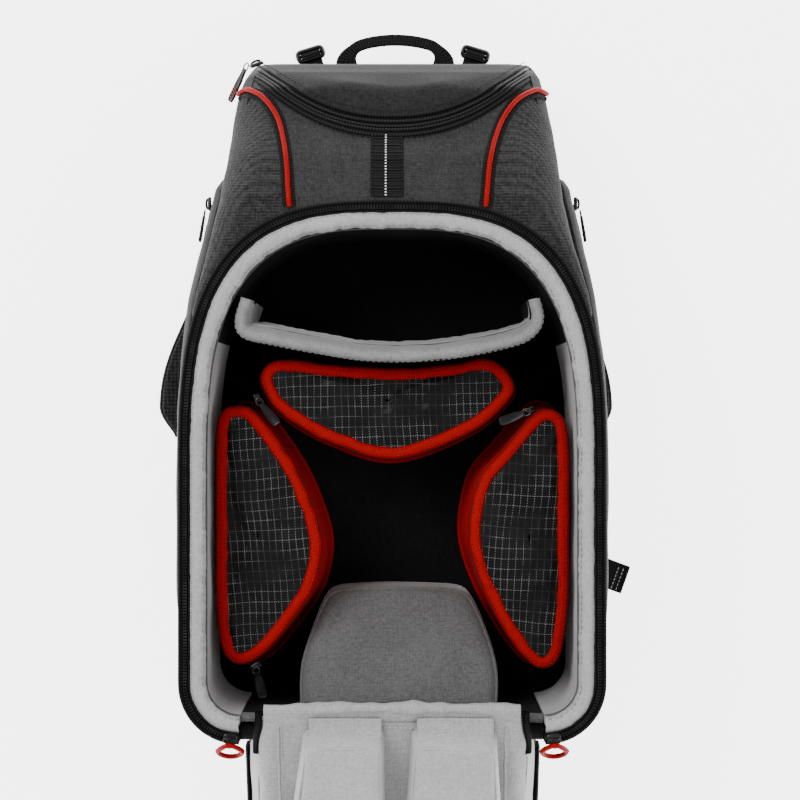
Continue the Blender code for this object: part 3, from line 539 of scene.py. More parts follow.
def inflate(obj, hold, pressure=2.0, steps=10, cap=0.0022):
    """Cloth simulation with inner pressure, applied to the mesh, each point moving at most `cap`."""
    rest = np.array([v.co for v in obj.data.vertices])
    group = obj.vertex_groups.new(name="sewn")
    group.add([vert.index for vert in obj.data.vertices if hold(vert.co)], 1.0, "REPLACE")
    mod = obj.modifiers.new("cloth", "CLOTH")
    for key, value in (("quality", 4), ("mass", 0.25), ("tension_stiffness", 20), ("compression_stiffness", 4),
                       ("shear_stiffness", 8), ("bending_stiffness", 0.4), ("use_pressure", True),
                       ("uniform_pressure_force", pressure), ("vertex_group_mass", "sewn")):
        setattr(mod.settings, key, value)
    mod.settings.effector_weights.gravity = mod.settings.effector_weights.all = 0.0
    mod.point_cache.frame_start, mod.point_cache.frame_end = 1, steps
    scene = bpy.context.scene
    for step in range(1, steps + 1):
        scene.frame_set(step)
    cloth = obj.evaluated_get(bpy.context.evaluated_depsgraph_get())
    shift = np.array([v.co for v in cloth.to_mesh().vertices]) - rest
    cloth.to_mesh_clear()
    obj.modifiers.clear()
    scene.frame_set(1)
    size = np.linalg.norm(shift, axis=1, keepdims=True)
    size[size == 0] = 1.0
    moved = rest + np.nan_to_num(shift / size * np.minimum(size, cap))
    obj.data.vertices.foreach_set("co", moved.astype(np.float32).reshape(-1))
    obj.vertex_groups.clear()
    obj.data.update()


# ---------------------------------------------------------------- shape of the pack's body
WALL_TOP, BASE_LOW, BAY_LOW = 0.200, 0.0363, 0.0403
SHELL_LOW, SHELL_THICK, WAIST = BASE_LOW - 0.004, 0.0022, 0.150
OPEN_HALF, OPEN_CORNER, OPEN_CORNER_X, OPEN_CORNER_Y = 0.163, 0.045, 0.118, -0.218
OPEN_ARCH_Y, OPEN_ARCH_RISE = -0.060, 0.212
HEAD_END, LID_END = 0.2779, 0.0530
SECTIONS = [(-0.265, 0.118, WALL_TOP, 0.003), (-0.2606, 0.1379, WALL_TOP, 0.003),
            (-0.2482, 0.154, WALL_TOP, 0.003), (-0.2325, 0.1627, WALL_TOP, 0.003),
            (-0.218, 0.165, WALL_TOP, 0.003), (-0.060, 0.165, WALL_TOP, 0.003),
            (-0.010, 0.1640, WALL_TOP, 0.003), (0.030, 0.1610, WALL_TOP, 0.003),
            (0.080, 0.1520, WALL_TOP, 0.006), (0.118, 0.1420, WALL_TOP, 0.016),
            (0.155, 0.134, WALL_TOP, 0.028), (0.190, 0.130, 0.188, 0.036)]
for turn, half_width in ((0, 0.127), (25, 0.122), (45, 0.119), (62, 0.116), (76, 0.114), (90, 0.112)):
    crown = 0.045 + 0.125 * math.cos(math.radians(turn))
    SECTIONS.append((0.2187 + 0.0593 * math.sin(math.radians(turn)), half_width, crown,
                     min(0.038, 0.6 * (crown - BASE_LOW))))
ROWS = np.array(SECTIONS)
PIPING = {-1: ((-0.1205, 0.2430), (-0.1130, 0.2440), (-0.1010, 0.2370), (-0.0895, 0.2190),
               (-0.0825, 0.1900), (-0.0800, 0.1600)),
          1: ((0.1205, 0.2430), (0.1100, 0.2430), (0.0960, 0.2330), (0.0840, 0.2130),
              (0.0760, 0.1860), (0.0730, 0.1600))}


def section_at(y):
    """Half width, height and edge radius of the body at one y."""
    return tuple(float(np.interp(y, ROWS[:, 0], ROWS[:, k])) for k in (1, 2, 3))


def hood_height(x, y):
    half, top, radius = section_at(y)
    over = abs(x) - (half - radius)
    if over <= 0:
        return top
    return top - radius + math.sqrt(max(radius ** 2 - over ** 2, 0.0))


def hood_normal(x, y, step=0.002):
    slope_x = (hood_height(x + step, y) - hood_height(x - step, y)) / (2 * step)
    slope_y = (hood_height(x, y + step) - hood_height(x, y - step)) / (2 * step)
    return Vector((-slope_x, -slope_y, 1.0)).normalized()


def hood_up(p):
    return hood_normal(p.x, p.y)


def on_hood(x, y):
    return Vector((x, y, hood_height(x, y)))


def above_hood(x, y, lift):
    return on_hood(x, y) + hood_normal(x, y) * lift


def rim(inset, fine=1):
    """Open plan path round the opening: left end of the hinge, up, over the arch and down."""
    radius, half = OPEN_CORNER - inset, OPEN_HALF - inset
    corner = [math.radians(-90 + 90 * step / (10 * fine)) for step in range(10 * fine)]
    right = [Vector((OPEN_CORNER_X + radius * math.cos(a), OPEN_CORNER_Y + radius * math.sin(a))) for a in corner]
    count = 44 * fine
    right += [Vector((half, OPEN_CORNER_Y + (OPEN_ARCH_Y - OPEN_CORNER_Y) * step / count)) for step in range(count)]
    arch = []
    count = 150 * fine
    for step in range(count + 1):
        c, s = math.cos(math.pi * step / count), math.sin(math.pi * step / count)
        k = (abs(c) ** 3 + s ** 3) ** (-1 / 3)
        arch.append(Vector((half * c * k, OPEN_ARCH_Y + (OPEN_ARCH_RISE - inset) * s * k)))
    return (right + arch + [Vector((-p.x, p.y)) for p in right[::-1]])[::-1]


def sweep(profile, fine=1, change=None):
    """Rows of a profile of (inset, height) carried round the rim; change edits each point."""
    rows = zip(*(at_height(rim(inset, fine), z) for inset, z in profile))
    return [[change(p, k) for k, p in enumerate(row)] if change else row for row in rows]


def outer_edge(angle):
    """Where a ray from the arch's centre leaves the plan of the body."""
    origin = Vector((0.0, OPEN_ARCH_Y))
    ray = Vector((math.cos(angle), math.sin(angle)))
    low, high = 0.0, 0.6
    for _ in range(40):
        mid = (low + high) / 2
        p = origin + ray * mid
        inside = p.y < HEAD_END and abs(p.x) < section_at(p.y)[0]
        low, high = (mid, high) if inside else (low, mid)
    return origin + ray * low


def middle_bounds(y):
    """The hood's middle panel, between its two pipings, at one y."""
    pairs = (sorted((q, p) for p, q in PIPING[sign][1:]) for sign in (-1, 1))
    return [float(np.interp(y, [q for q, _ in pts], [p for _, p in pts])) for pts in pairs]


def lid_line(x, shift=0.0):
    return 0.2187 + 0.048 * (abs(x) / 0.107) ** 2.2 + shift


def body_outline():
    """Plan outline of the whole body as 200 even steps, anticlockwise."""
    right = [Vector((half, y, 0.0)) for y, half, _, _ in SECTIONS]
    even = resample(right + [Vector((-p.x, p.y, 0.0)) for p in right[::-1]] + right[:1], 0.0079)
    return [even[int(t / 200 * (len(even) - 1))].to_2d() for t in range(200)]


def make_shell():
    """Outer cloth: sides, lower end and hood in one skin from the zip out and down to the back."""
    rows = []
    for a, b in zip(rim(0.0105, 2), rim(-0.0018, 2)):
        arch = a.y > OPEN_ARCH_Y + 0.0005
        end = outer_edge(math.atan2(b.y - OPEN_ARCH_Y, b.x)) if arch else b
        line = [Vector((b.x, b.y, WALL_TOP))]
        if arch and (end - b).length > 0.002:
            line = [on_hood(*(b + (end - b) * (1 - (1 - k / 160) ** 2))) for k in range(161)]
        last = line[-1]
        run = line + [last.lerp(Vector((last.x, last.y, SHELL_LOW)), k / 8) for k in range(1, 9)]
        total = resample(resample(run, 0.0001) if len(line) < 3 else run, 0.004)
        at = np.linspace(0, len(total) - 1, 64)
        pts = [total[int(t)].lerp(total[min(int(t) + 1, len(total) - 1)], t - int(t)) for t in at]
        out = (b.to_3d() - a.to_3d()).normalized()
        row = [Vector((a.x, a.y, WALL_TOP - 0.0005)), Vector((b.x, b.y, WALL_TOP)) - out * 0.004]
        for k, p in enumerate(pts):
            push = (wrinkle(p, 20, 3.0) * 0.0008 + wrinkle(p, 60, 8.0) * 0.0003) * ease(k, 2, 10)
            side = Vector((p.x, (p.y - OPEN_ARCH_Y) if arch else 0.0, 0.0)).normalized()
            seam = 0.0 if arch else 0.0012 * dent(p.z - WAIST, 0.0035)
            top = arch and p.z > 0.05 and p.z > hood_height(p.x * 0.98, p.y) - 0.03
            row.append(p + (hood_up(p) if top else side) * push - side * seam)
        rows.append(row)

    def keep(p):
        return not (p.y > lid_line(p.x, -0.0005) and p.z > LID_END + 0.0005 and abs(p.x) < 0.1105)

    def kind(p):
        left, right = middle_bounds(p.y)
        return 0 if p.y > 0.12 and left < p.x < right and p.z > 0.10 else 1

    nodes = ("side_panel_left", "side_panel_right", "hood_panel")
    thicken(Skin().grid(rows, kind=kind, keep=keep).build(
        "outer_shell", ["outer", "side"], nodes=nodes, facing=UP), SHELL_THICK)

    rows = []
    for i in range(61):
        x = -0.119 + 0.238 * i / 60
        sags = [(z, wrinkle((x, 0, z), 30, 5.0) * 0.0008 - 0.0012 * dent(z - WAIST, 0.0035))
                for z in span(SHELL_LOW, 0.172, 26)]
        rows.append([Vector((x, -0.2650 - sag, z)) for z, sag in sags]
                    + [Vector((x, y, z + wrinkle((x, y, z), 40, 1.0) * 0.0004))
                       for y, z in ((-0.2635, 0.1735), (-0.259, 0.1740), (-0.252, 0.1738))])
    thicken(Skin().grid(rows).build("lower_shell", "outer", nodes="lower_panel",
                                    facing=(0, -1, 0)), SHELL_THICK)
    seam = at_height(resample([p.to_3d() for p in body_outline()], 0.006), 0.0360)
    Skin().tube(seam, 0.0018, close=True).build("back_seam_piping", "webbing")


def make_back():
    """Back panel with its two air-mesh pads, and the floor of the bay."""
    rows = []
    for z, inset in ((0.0355, 0.004), (0.0350, 0.0005), (0.0300, -0.0002), (0.0220, 0.0004), (0.0188, 0.003),
                     (0.0182, 0.010), (0.0182, 0.040), (0.0182, 0.075)):
        row = []
        for p in body_outline():
            mid = Vector((0.0, min(max(p.y, -0.17), 0.17)))
            away = p - mid
            q = mid + away * (1 - min(inset / max(away.length, 0.01), 0.9))
            row.append(Vector((q.x, q.y, z + wrinkle((q.x, q.y, z), 25, 2.0) * 0.0003)))
        rows.append(row)
    solid(rows, "back_panel_cloth", "outer", "case", "back_panel", "outer_fabric")
    for name, centre, width, height in (("back_pad_main", 0.0, 0.150, 0.240),
                                        ("back_pad_lumbar", -0.187, 0.170, 0.110)):
        rows = []
        for z, shrink in ((0.0180, 0.001), (0.0150, 0.0), (0.0090, -0.001), (0.0040, 0.001), (0.0018, 0.006),
                          (0.0006, 0.014), (0.0003, 0.030), (0.0003, 0.060), (0.0003, 0.100)):
            loop = rounded_rect(width - shrink, height - shrink, min(0.030, (width - shrink) / 2.2), 9)
            loop = resample(loop, 0.005, closed=True) if shrink < 0 else loop
            rows.append([Vector((p.x, p.y + centre, z)) for p in loop])
        count = min(len(r) for r in rows)
        rows = [r[:count] for r in rows]
        for p in (p for row in rows for p in row if p.z < 0.006):
            p.z += 0.0016 * dent(math.sin(math.pi * (p.y - centre) / 0.048), 0.16)
        quilt(rows, 0.7, name + "_cloth", "mesh", "case", name, "back_mesh")
        loop = [Vector((p.x, p.y + centre, 0.0172)) for p in rounded_rect(width + 0.002, height + 0.002, 0.031, 9)]
        Skin().tube(loop, 0.0014, 6, close=True).build(name + "_binding", "webbing")
    rows = [[Vector((0.0, max(p.y, -0.20) * 0.4, 0.0400)).lerp(Vector((p.x, p.y, 0.0400)), t)
             for t in span(0.0, 1.0, 8)] for p in rim(0.0125)]
    thicken(Skin().grid(rows, close=True).build("bay_floor_cloth", "floor", nodes="bay_floor"),
            0.003, 0.0)


def make_linings():
    """Padded lining: wall and soft roll round the rim, gathered by its seam, and the lower wall."""
    profile = [(0.0125, 0.2000), (0.0125, 0.060), (0.0127, BAY_LOW), (0.0187, BAY_LOW), (0.0192, 0.062)]
    profile += [(0.0190 + 0.0006 * math.sin(k), z) for k, z in enumerate((0.085, 0.108, 0.130, 0.150, 0.168, 0.181))]
    profile += [(0.0134 + 0.0062 * math.cos(math.radians(deg)), 0.1982 + 0.0058 * math.sin(math.radians(deg)))
                for deg in range(-50, 200, 15)]

    def soft(p, k):
        roll = ease(p.z, 0.176, 0.192)
        pleat = 0.00055 * wrinkle((p.x, p.y, 0.0), 210, 4.0) + 0.0007 * wrinkle((p.x, p.y, 0.0), 75, 9.0)
        wall = 0.0012 * wrinkle(p, 28, 7.0) * (1 - roll) if k > 3 else 0.0
        away = Vector((-p.x, OPEN_ARCH_Y * 0.4 - p.y * 0.9, 0.0)).normalized()
        return p + away * (roll * pleat + wall) + Vector((0, 0, roll * pleat * 0.8))

    lining = quilt(sweep(profile, 3, soft), 0.7, "rim_lining", ["lining", "lining_shade"], "case",
                   ("lining_left", "lining_right", "lining_arch"), "lining")
    # painted shade: the arch's walls below the roll take the near-black lining material
    dye(lining, 1, lambda poly: poly.center.z < 0.1885 and poly.center.y > 0.045)
    skin = Skin()
    for inset, z in ((0.0178, 0.2024), (0.0092, 0.2022)):
        skin.stitches(at_height(rim(inset, 3), z), UP, 0.0030, 0.0016, 0.00035)
    skin.build("rim_stitching", "tab_grey")
    skin = Skin().tube(resample(at_height(rim(0.0194, 2), 0.1888), 0.004), 0.0007, 6)
    skin.build("rim_seam", "thread_mid")

    section = ((-0.2507, BAY_LOW), (-0.2507, 0.10), (-0.2507, 0.178), (-0.2492, 0.1835), (-0.2470, 0.1848),
               (-0.2445, 0.1835), (-0.2432, 0.1790), (-0.2442, 0.16), (-0.2440, 0.12), (-0.2442, 0.08),
               (-0.2440, BAY_LOW))
    rows = [[Vector((x, y + 0.0006 * wrinkle((x, y, z), 45, 2.0), z)) for y, z in section]
            for x in (-0.117 + 0.234 * i / 120 for i in range(121))]
    low = quilt(rows, 0.6, "lower_lining", ["brushed", "lining_shade"], "case", "lining_lower", "lining")
    # painted shade: the lower wall below its roll takes the near-black lining material
    dye(low, 1, lambda poly: poly.center.z < 0.180)


def make_main_zip():
    """Tape round the rim with one row of moulded teeth, and a piped seam outside it."""
    tape = [(-0.0002, 0.2002), (0.0005, 0.2008), (0.0014, 0.2009), (0.0046, 0.2009), (0.0068, 0.2012), (0.0076, 0.2004)]
    Skin().grid(sweep(tape, 2)).build("main_zip_tape", "zip_tape", nodes="main_zip", outward=True)
    skin = Skin()
    for point, *axes in frames(resample(at_height(rim(0.0036, 3), 0.2018), TOOTH_STEP)):
        skin.brick(point, axes, (0.0013, 0.0034, 0.0020), 0.85)
        skin.brick(point + axes[1] * 0.0012 + axes[0] * 0.0001, axes, (0.0017, 0.0011, 0.0021), 0.9)
    skin.build("main_zip_teeth", "teeth", smooth=False)
    skin = Skin()
    for inset, radius in ((-0.0004, 0.0010), (0.0068, 0.0007)):
        skin.tube(resample(at_height(rim(inset, 2), 0.2008), 0.004), radius)
    skin.build("rim_piping", "webbing")


def make_lid():
    """Puffed lid of the head compartment, gathered into its zip, with the zip on both sides."""
    rows = []
    for i in range(121):
        x = -0.1095 + 0.219 * i / 120
        start = lid_line(x, 0.0012)
        line = [on_hood(x, min(start + (HEAD_END - start) * (1 - (1 - k / 239) ** 2.2), HEAD_END)) for k in range(240)]
        line.append(Vector((x, HEAD_END + 0.0001, LID_END)))
        run = resample([p for p in line if p.z >= LID_END], 0.0005)
        row = []
        for t in np.linspace(0.0, 1.0, 46):
            p = run[int(t * (len(run) - 1))]
            d = (p - run[0]).length
            puff = 0.0052 * ease(d, 0.0, 0.028) * (1 - 0.8 * ease(d, 0.075, 0.14)) * (1 - ease(abs(x), 0.085, 0.1095))
            phase = x * 185 + 2.6 * wrinkle((x, 0, 0), 22, 1.0)
            pleat = math.sin(phase + 0.35 * math.sin(phase)) * math.exp(-d / 0.020) * ease(d, 0.0, 0.005)
            fold = wrinkle((x * 0.9, d * 0.55, 0.0), 30, 12.0) * ease(d, 0.006, 0.03)
            fold *= 1 - ease(0.09 - p.z, 0.0, 0.04)
            lump = puff + 0.0026 * pleat * (0.6 + 0.4 * wrinkle((x, 1, 0), 40))
            lump += 0.0030 * fold * (1 - ease(abs(x), 0.09, 0.108))
            row.append(p + hood_normal(p.x, min(p.y, 0.2765)) * (lump * (1 - ease(p.y, 0.235, 0.268))))
        rows.append(row)
    lid = Skin().grid(rows).build("head_lid_cloth", "outer_lid", "lid", "head_lid", "outer_fabric", facing=UP)
    thicken(lid, 0.0030)

    spots = [-0.108 + 0.216 * i / 160 for i in range(161)]

    def line_at(shift, lift):
        return [above_hood(x, lid_line(x, shift), lift) for x in spots]

    section = ((-0.0135, 0.0008), (-0.0120, 0.0020), (-0.0070, 0.0022), (-0.0020, 0.0022), (0.0004, 0.0021))
    tape = Skin().grid(list(zip(*(line_at(*at) for at in section))))
    tape.build("lid_zip_tape", "zip_tape", nodes="lid_zip", outward=True)
    coil = Skin()
    for shift in (-0.0098, -0.0070, -0.0030):
        coil.tube(line_at(shift, 0.0027), 0.0010, up=hood_up)
    coil.build("lid_zip_coils", "coil")
    Skin().tube(line_at(-0.0138, 0.0016), 0.0015).build("lid_zip_piping", "webbing")
    Skin().tube(line_at(0.0022, 0.0018), 0.0013).build("lid_edge_piping", "webbing", "lid")
    for name, body, *at in (("hood_zip_stitching", "case", -0.0160, 0.0010), ("lid_stitching", "lid", 0.0065, 0.0030)):
        skin = Skin().stitches(line_at(*at), hood_up, 0.0026, 0.0014)
        skin.build(name, "thread_dark", body, slot="outer_fabric")

    low, rows = 0.0372, []
    for y in span(0.1665, 0.2675, 14):
        half, top, _ = section_at(y)
        half, rise = half - 0.009, min(top - 0.009, 0.15) - low
        rows.append([Vector((-half, y, low + rise * (1 - t))) for t in np.linspace(0.0, 1.0, 9)]
                    + [Vector((-half + 2 * half * t, y, low)) for t in np.linspace(0.06, 0.94, 12)]
                    + [Vector((half, y, low + rise * t)) for t in np.linspace(0.0, 1.0, 9)])
    wall = [[Vector((x, 0.1665 + 0.001 * wrinkle((x, 0, z), 30), z)) for z in np.linspace(low, 0.185, 10)]
            for x in np.linspace(-0.118, 0.118, 24)]
    Skin().grid(rows).grid(wall).build("head_bay_lining", "flap", slot="lining")


def make_hood_trim():
    """Red piping with its stitched flange, and the ribbed webbing strip between."""
    section = ((0.0010, -0.0016), (0.0026, -0.0014), (0.0046, -0.0016), (0.0052, -0.0030))
    for name, sign in SIDES:
        route = PIPING[sign] + ((PIPING[sign][-1][0] - sign * 0.0012, 0.1485),)
        path = resample([above_hood(p.x, p.y, 0.0028) for p in smooth_path(route, 8)], 0.002)
        Skin().tube(path, 0.0020, 12, up=hood_up).build("piping_%s_cord" % name, "red_pipe",
                                                        nodes="piping_" + name)
        for side in (1, -1):
            spots = frames(path, up=hood_up)
            rows = [[point + across * (side * w) + lift * h for w, h in section] for point, _, across, lift in spots]
            Skin().grid(rows).build("piping_%s_flange_%d" % (name, side + 2), "webbing")
            line = [point + across * (side * 0.0036) - lift * 0.0013 for point, _, across, lift in spots]
            thread = Skin().stitches(line, hood_up, 0.0024, 0.0013)
            thread.build("piping_%s_stitching_%d" % (name, side + 2), "thread_dark", slot="webbing")
    rows = []
    for y in span(0.1565, 0.2095, 90):
        lift = 0.0021 + 0.0005 * math.sin(y * TAU / 0.0029)
        rows.append([Vector((x, y, hood_height(x, y) + (lift if abs(x + 0.004) < 0.0122 else -0.0004)))
                     for x in np.linspace(-0.017, 0.009, 27)])
    Skin().grid(rows).build("hood_webbing_strip", "webbing", nodes="hood_webbing")
    for x, colour, *stitch in ((-0.0050, "thread_white", 0.0012, 0.0012, 0.0006),
                               (-0.0155, "thread_dark", 0.002, 0.001, 0.00035),
                               (0.0075, "thread_dark", 0.002, 0.001, 0.00035)):
        line = [Vector((x, y, hood_height(x, y) + 0.0028)) for y in span(0.157, 0.2085, 30)]
        thread = Skin().stitches(line, UP, *stitch)
        thread.build("webbing_stitching_%d" % round(1000 * x + 20), colour, slot="webbing")


# ---------------------------------------------------------------- sliders and pulls
def slider(name, at, along, up=UP, size=(0.011, 0.008, 0.0034), body="case"):
    """Zip slider: waisted body with a bridge over it."""
    up = Vector(up).normalized()
    side = up.cross(Vector(along)).normalized()
    along = side.cross(up)
    at = Vector(at)
    rows = [[at + along * p.x + side * (p.y * (1 - 0.16 * dent(p.x, size[0] * 0.2))) + up * (size[2] * level)
             for p in rounded_rect(size[0] - shrink, size[1] - shrink, 0.0020)]
            for level, shrink in ((0.0, 0.0006), (0.10, 0.0), (0.55, 0.0), (0.72, 0.0010), (0.78, 0.0026))]
    bridge = [at + along * (size[0] * a) + up * (size[2] * b)
              for a, b in ((-0.34, 0.74), (-0.30, 1.00), (-0.12, 1.16), (0.12, 1.16), (0.30, 1.00), (0.34, 0.74))]
    skin = Skin().grid(rows, wrap=True, caps=True).tube(smooth_path(bridge, 4), 0.0009, up=side)
    skin.build(name + "_body", "metal", body, name, "slider_metal", outward=True)


def pull_tab(name, hinge, direction, side, length, width, body, tip="plastic"):
    """Wire ring through the slider and a moulded tab with a raised rim."""
    hinge = Vector(hinge)
    direction = Vector(direction).normalized()
    side = (Vector(side) - Vector(side).dot(direction) * direction).normalized()
    lift = direction.cross(side)
    ring = [hinge + direction * (0.0034 - 0.0036 * math.cos(a)) + side * (0.0027 * math.sin(a))
            for a in (TAU * k / 20 for k in range(20))]
    Skin().tube(ring, 0.00055, close=True, up=lift).build(name + "_ring", "bright", body)
    outline = [(0.0048 / length, 0.30), (0.30, 0.34), (0.46, 0.47), (0.62, 0.50), (0.90, 0.50), (0.97, 0.44),
               (1.0, 0.30)]
    outline += [(a, -b) for a, b in outline[::-1]]
    rows = [[hinge + direction * (length * (0.55 + (a - 0.55) * (0.5 + scale / 2)))
             + side * (b * width * scale) + lift * (level * 0.0020) for a, b in outline]
            for level, scale in ((-0.35, 0.86), (-0.5, 0.95), (-0.4, 1.0), (0.4, 1.0), (0.5, 0.95), (0.35, 0.86))]
    solid(rows, name + "_tab", "plastic", body, name, "hardware")
    grip = Skin()
    for k in range(4):
        mid = hinge + direction * (length * (0.66 + 0.075 * k))
        for off in (0.0011, -0.0011):
            grip.brick(mid + lift * off, (side, direction, lift), (width * 0.62, 0.0007, 0.0006))
    grip.build(name + "_grip", tip, body, slot="hardware")


def make_sliders():
    for name, sign in SIDES:
        x = sign * (OPEN_CORNER_X + 0.006)
        y = OPEN_CORNER_Y - math.sqrt(OPEN_CORNER ** 2 - 0.006 ** 2) + 0.003
        slider("main_slider_" + name, (x, y, 0.2037), (1.0, 0.1 * sign, 0.0))
        hinge = Vector((x + sign * 0.001, -0.2700, 0.2040))
        out = Vector((0.0, -math.cos(math.radians(62)), -math.sin(math.radians(62))))
        loop = []
        for a in (TAU * step / 40 for step in range(40)):
            wide = 0.0095 * math.sin(a) * (0.55 + 0.45 * min(1.0, (1 - math.cos(a))))
            loop.append(hinge + out * (0.0125 * (1 - math.cos(a)) - 0.0030) + Vector((wide, 0.0040, 0.0)))
        Skin().tube(loop, 0.0020, 10, close=True, up=(0, 1, 0.2)).build(
            "main_pull_%s_cord" % name, "red_pipe", "pull_main_" + name, "main_pull_" + name, "red_trim")
        clasp = [hinge + Vector((0.0, 0.0085 - d, 0.0010 - 0.4 * d)) for d in (0.0, 0.0025, 0.0050)]
        Skin().tube(clasp, 0.0024, 10).build("main_pull_%s_clasp" % name, "plastic", "pull_main_" + name)
        x = sign * (section_at(0.158)[0] + 0.0125)
        slider("pocket_slider_" + name, (x, 0.158, 0.112), (0.0, 1.0, 0.0), (sign, 0.0, 0.0))
        pull_tab("pocket_pull_" + name, (x + sign * 0.0050, 0.153, 0.112), (sign * 0.16, -0.97, 0.0), UP, 0.026, 0.007,
                 "pull_pocket_" + name, "thread_red" if sign > 0 else "plastic")
    x = -0.107
    seat = above_hood(x, lid_line(x, -0.0045), 0.0066)
    normal = (seat - above_hood(x, lid_line(x, -0.0045), 0.0)).normalized()
    slider("lid_slider", seat, (0.7, 0.6, -0.2), normal)
    hinge = seat + normal * 0.0042 + Vector((-0.0060, -0.0020, 0.0))
    pull_tab("lid_pull", hinge, (-0.44, -0.88, -0.22), (-0.5, 0.3, -0.6), 0.034, 0.006, "pull_lid", "thread_red")


# ---------------------------------------------------------------- fittings inside the bay
POUCH_TOP, POUCH_FLARE = 0.145, 1.07
POUCHES = {  # outline, the point it flares from, and the zip slider's x, y, heading and hanging direction
    "top": (((-0.103, 0.020), (-0.089, 0.031), (-0.045, 0.0270), (0.0055, 0.0245), (0.045, 0.0275), (0.077, 0.0316),
             (0.094, 0.016), (0.091, 0.0), (0.061, -0.025), (0.0016, -0.046), (-0.050, -0.032), (-0.085, -0.012),
             (-0.099, 0.004)),
            (0.0, 0.0316), (-0.1070, 0.0010, (0.35, -1.0, 0.0), (0.80, -1.0, 0.0))),
    "left": (((-0.1385, -0.030), (-0.134, -0.0095), (-0.121, -0.0055), (-0.107, -0.012), (-0.081, -0.047),
              (-0.0655, -0.079), (-0.0565, -0.112), (-0.062, -0.145), (-0.077, -0.170), (-0.101, -0.199),
              (-0.121, -0.2085), (-0.1335, -0.197), (-0.1385, -0.160), (-0.1390, -0.100)),
             (-0.139, -0.045), (-0.1085, -0.2110, (0.75, 0.5, 0.0), (0.25, -1.0, -0.20))),
    "right": (((0.121, -0.008), (0.134, -0.014), (0.1385, -0.034), (0.1390, -0.100), (0.1385, -0.158),
               (0.132, -0.201), (0.117, -0.2116), (0.100, -0.197), (0.0805, -0.166), (0.065, -0.130),
               (0.061, -0.100), (0.069, -0.063), (0.088, -0.0395), (0.108, -0.016)),
              (0.139, -0.100), (0.1090, -0.0085, (-1.0, -0.7, 0.0), (-0.95, -0.35, -0.10))),
}


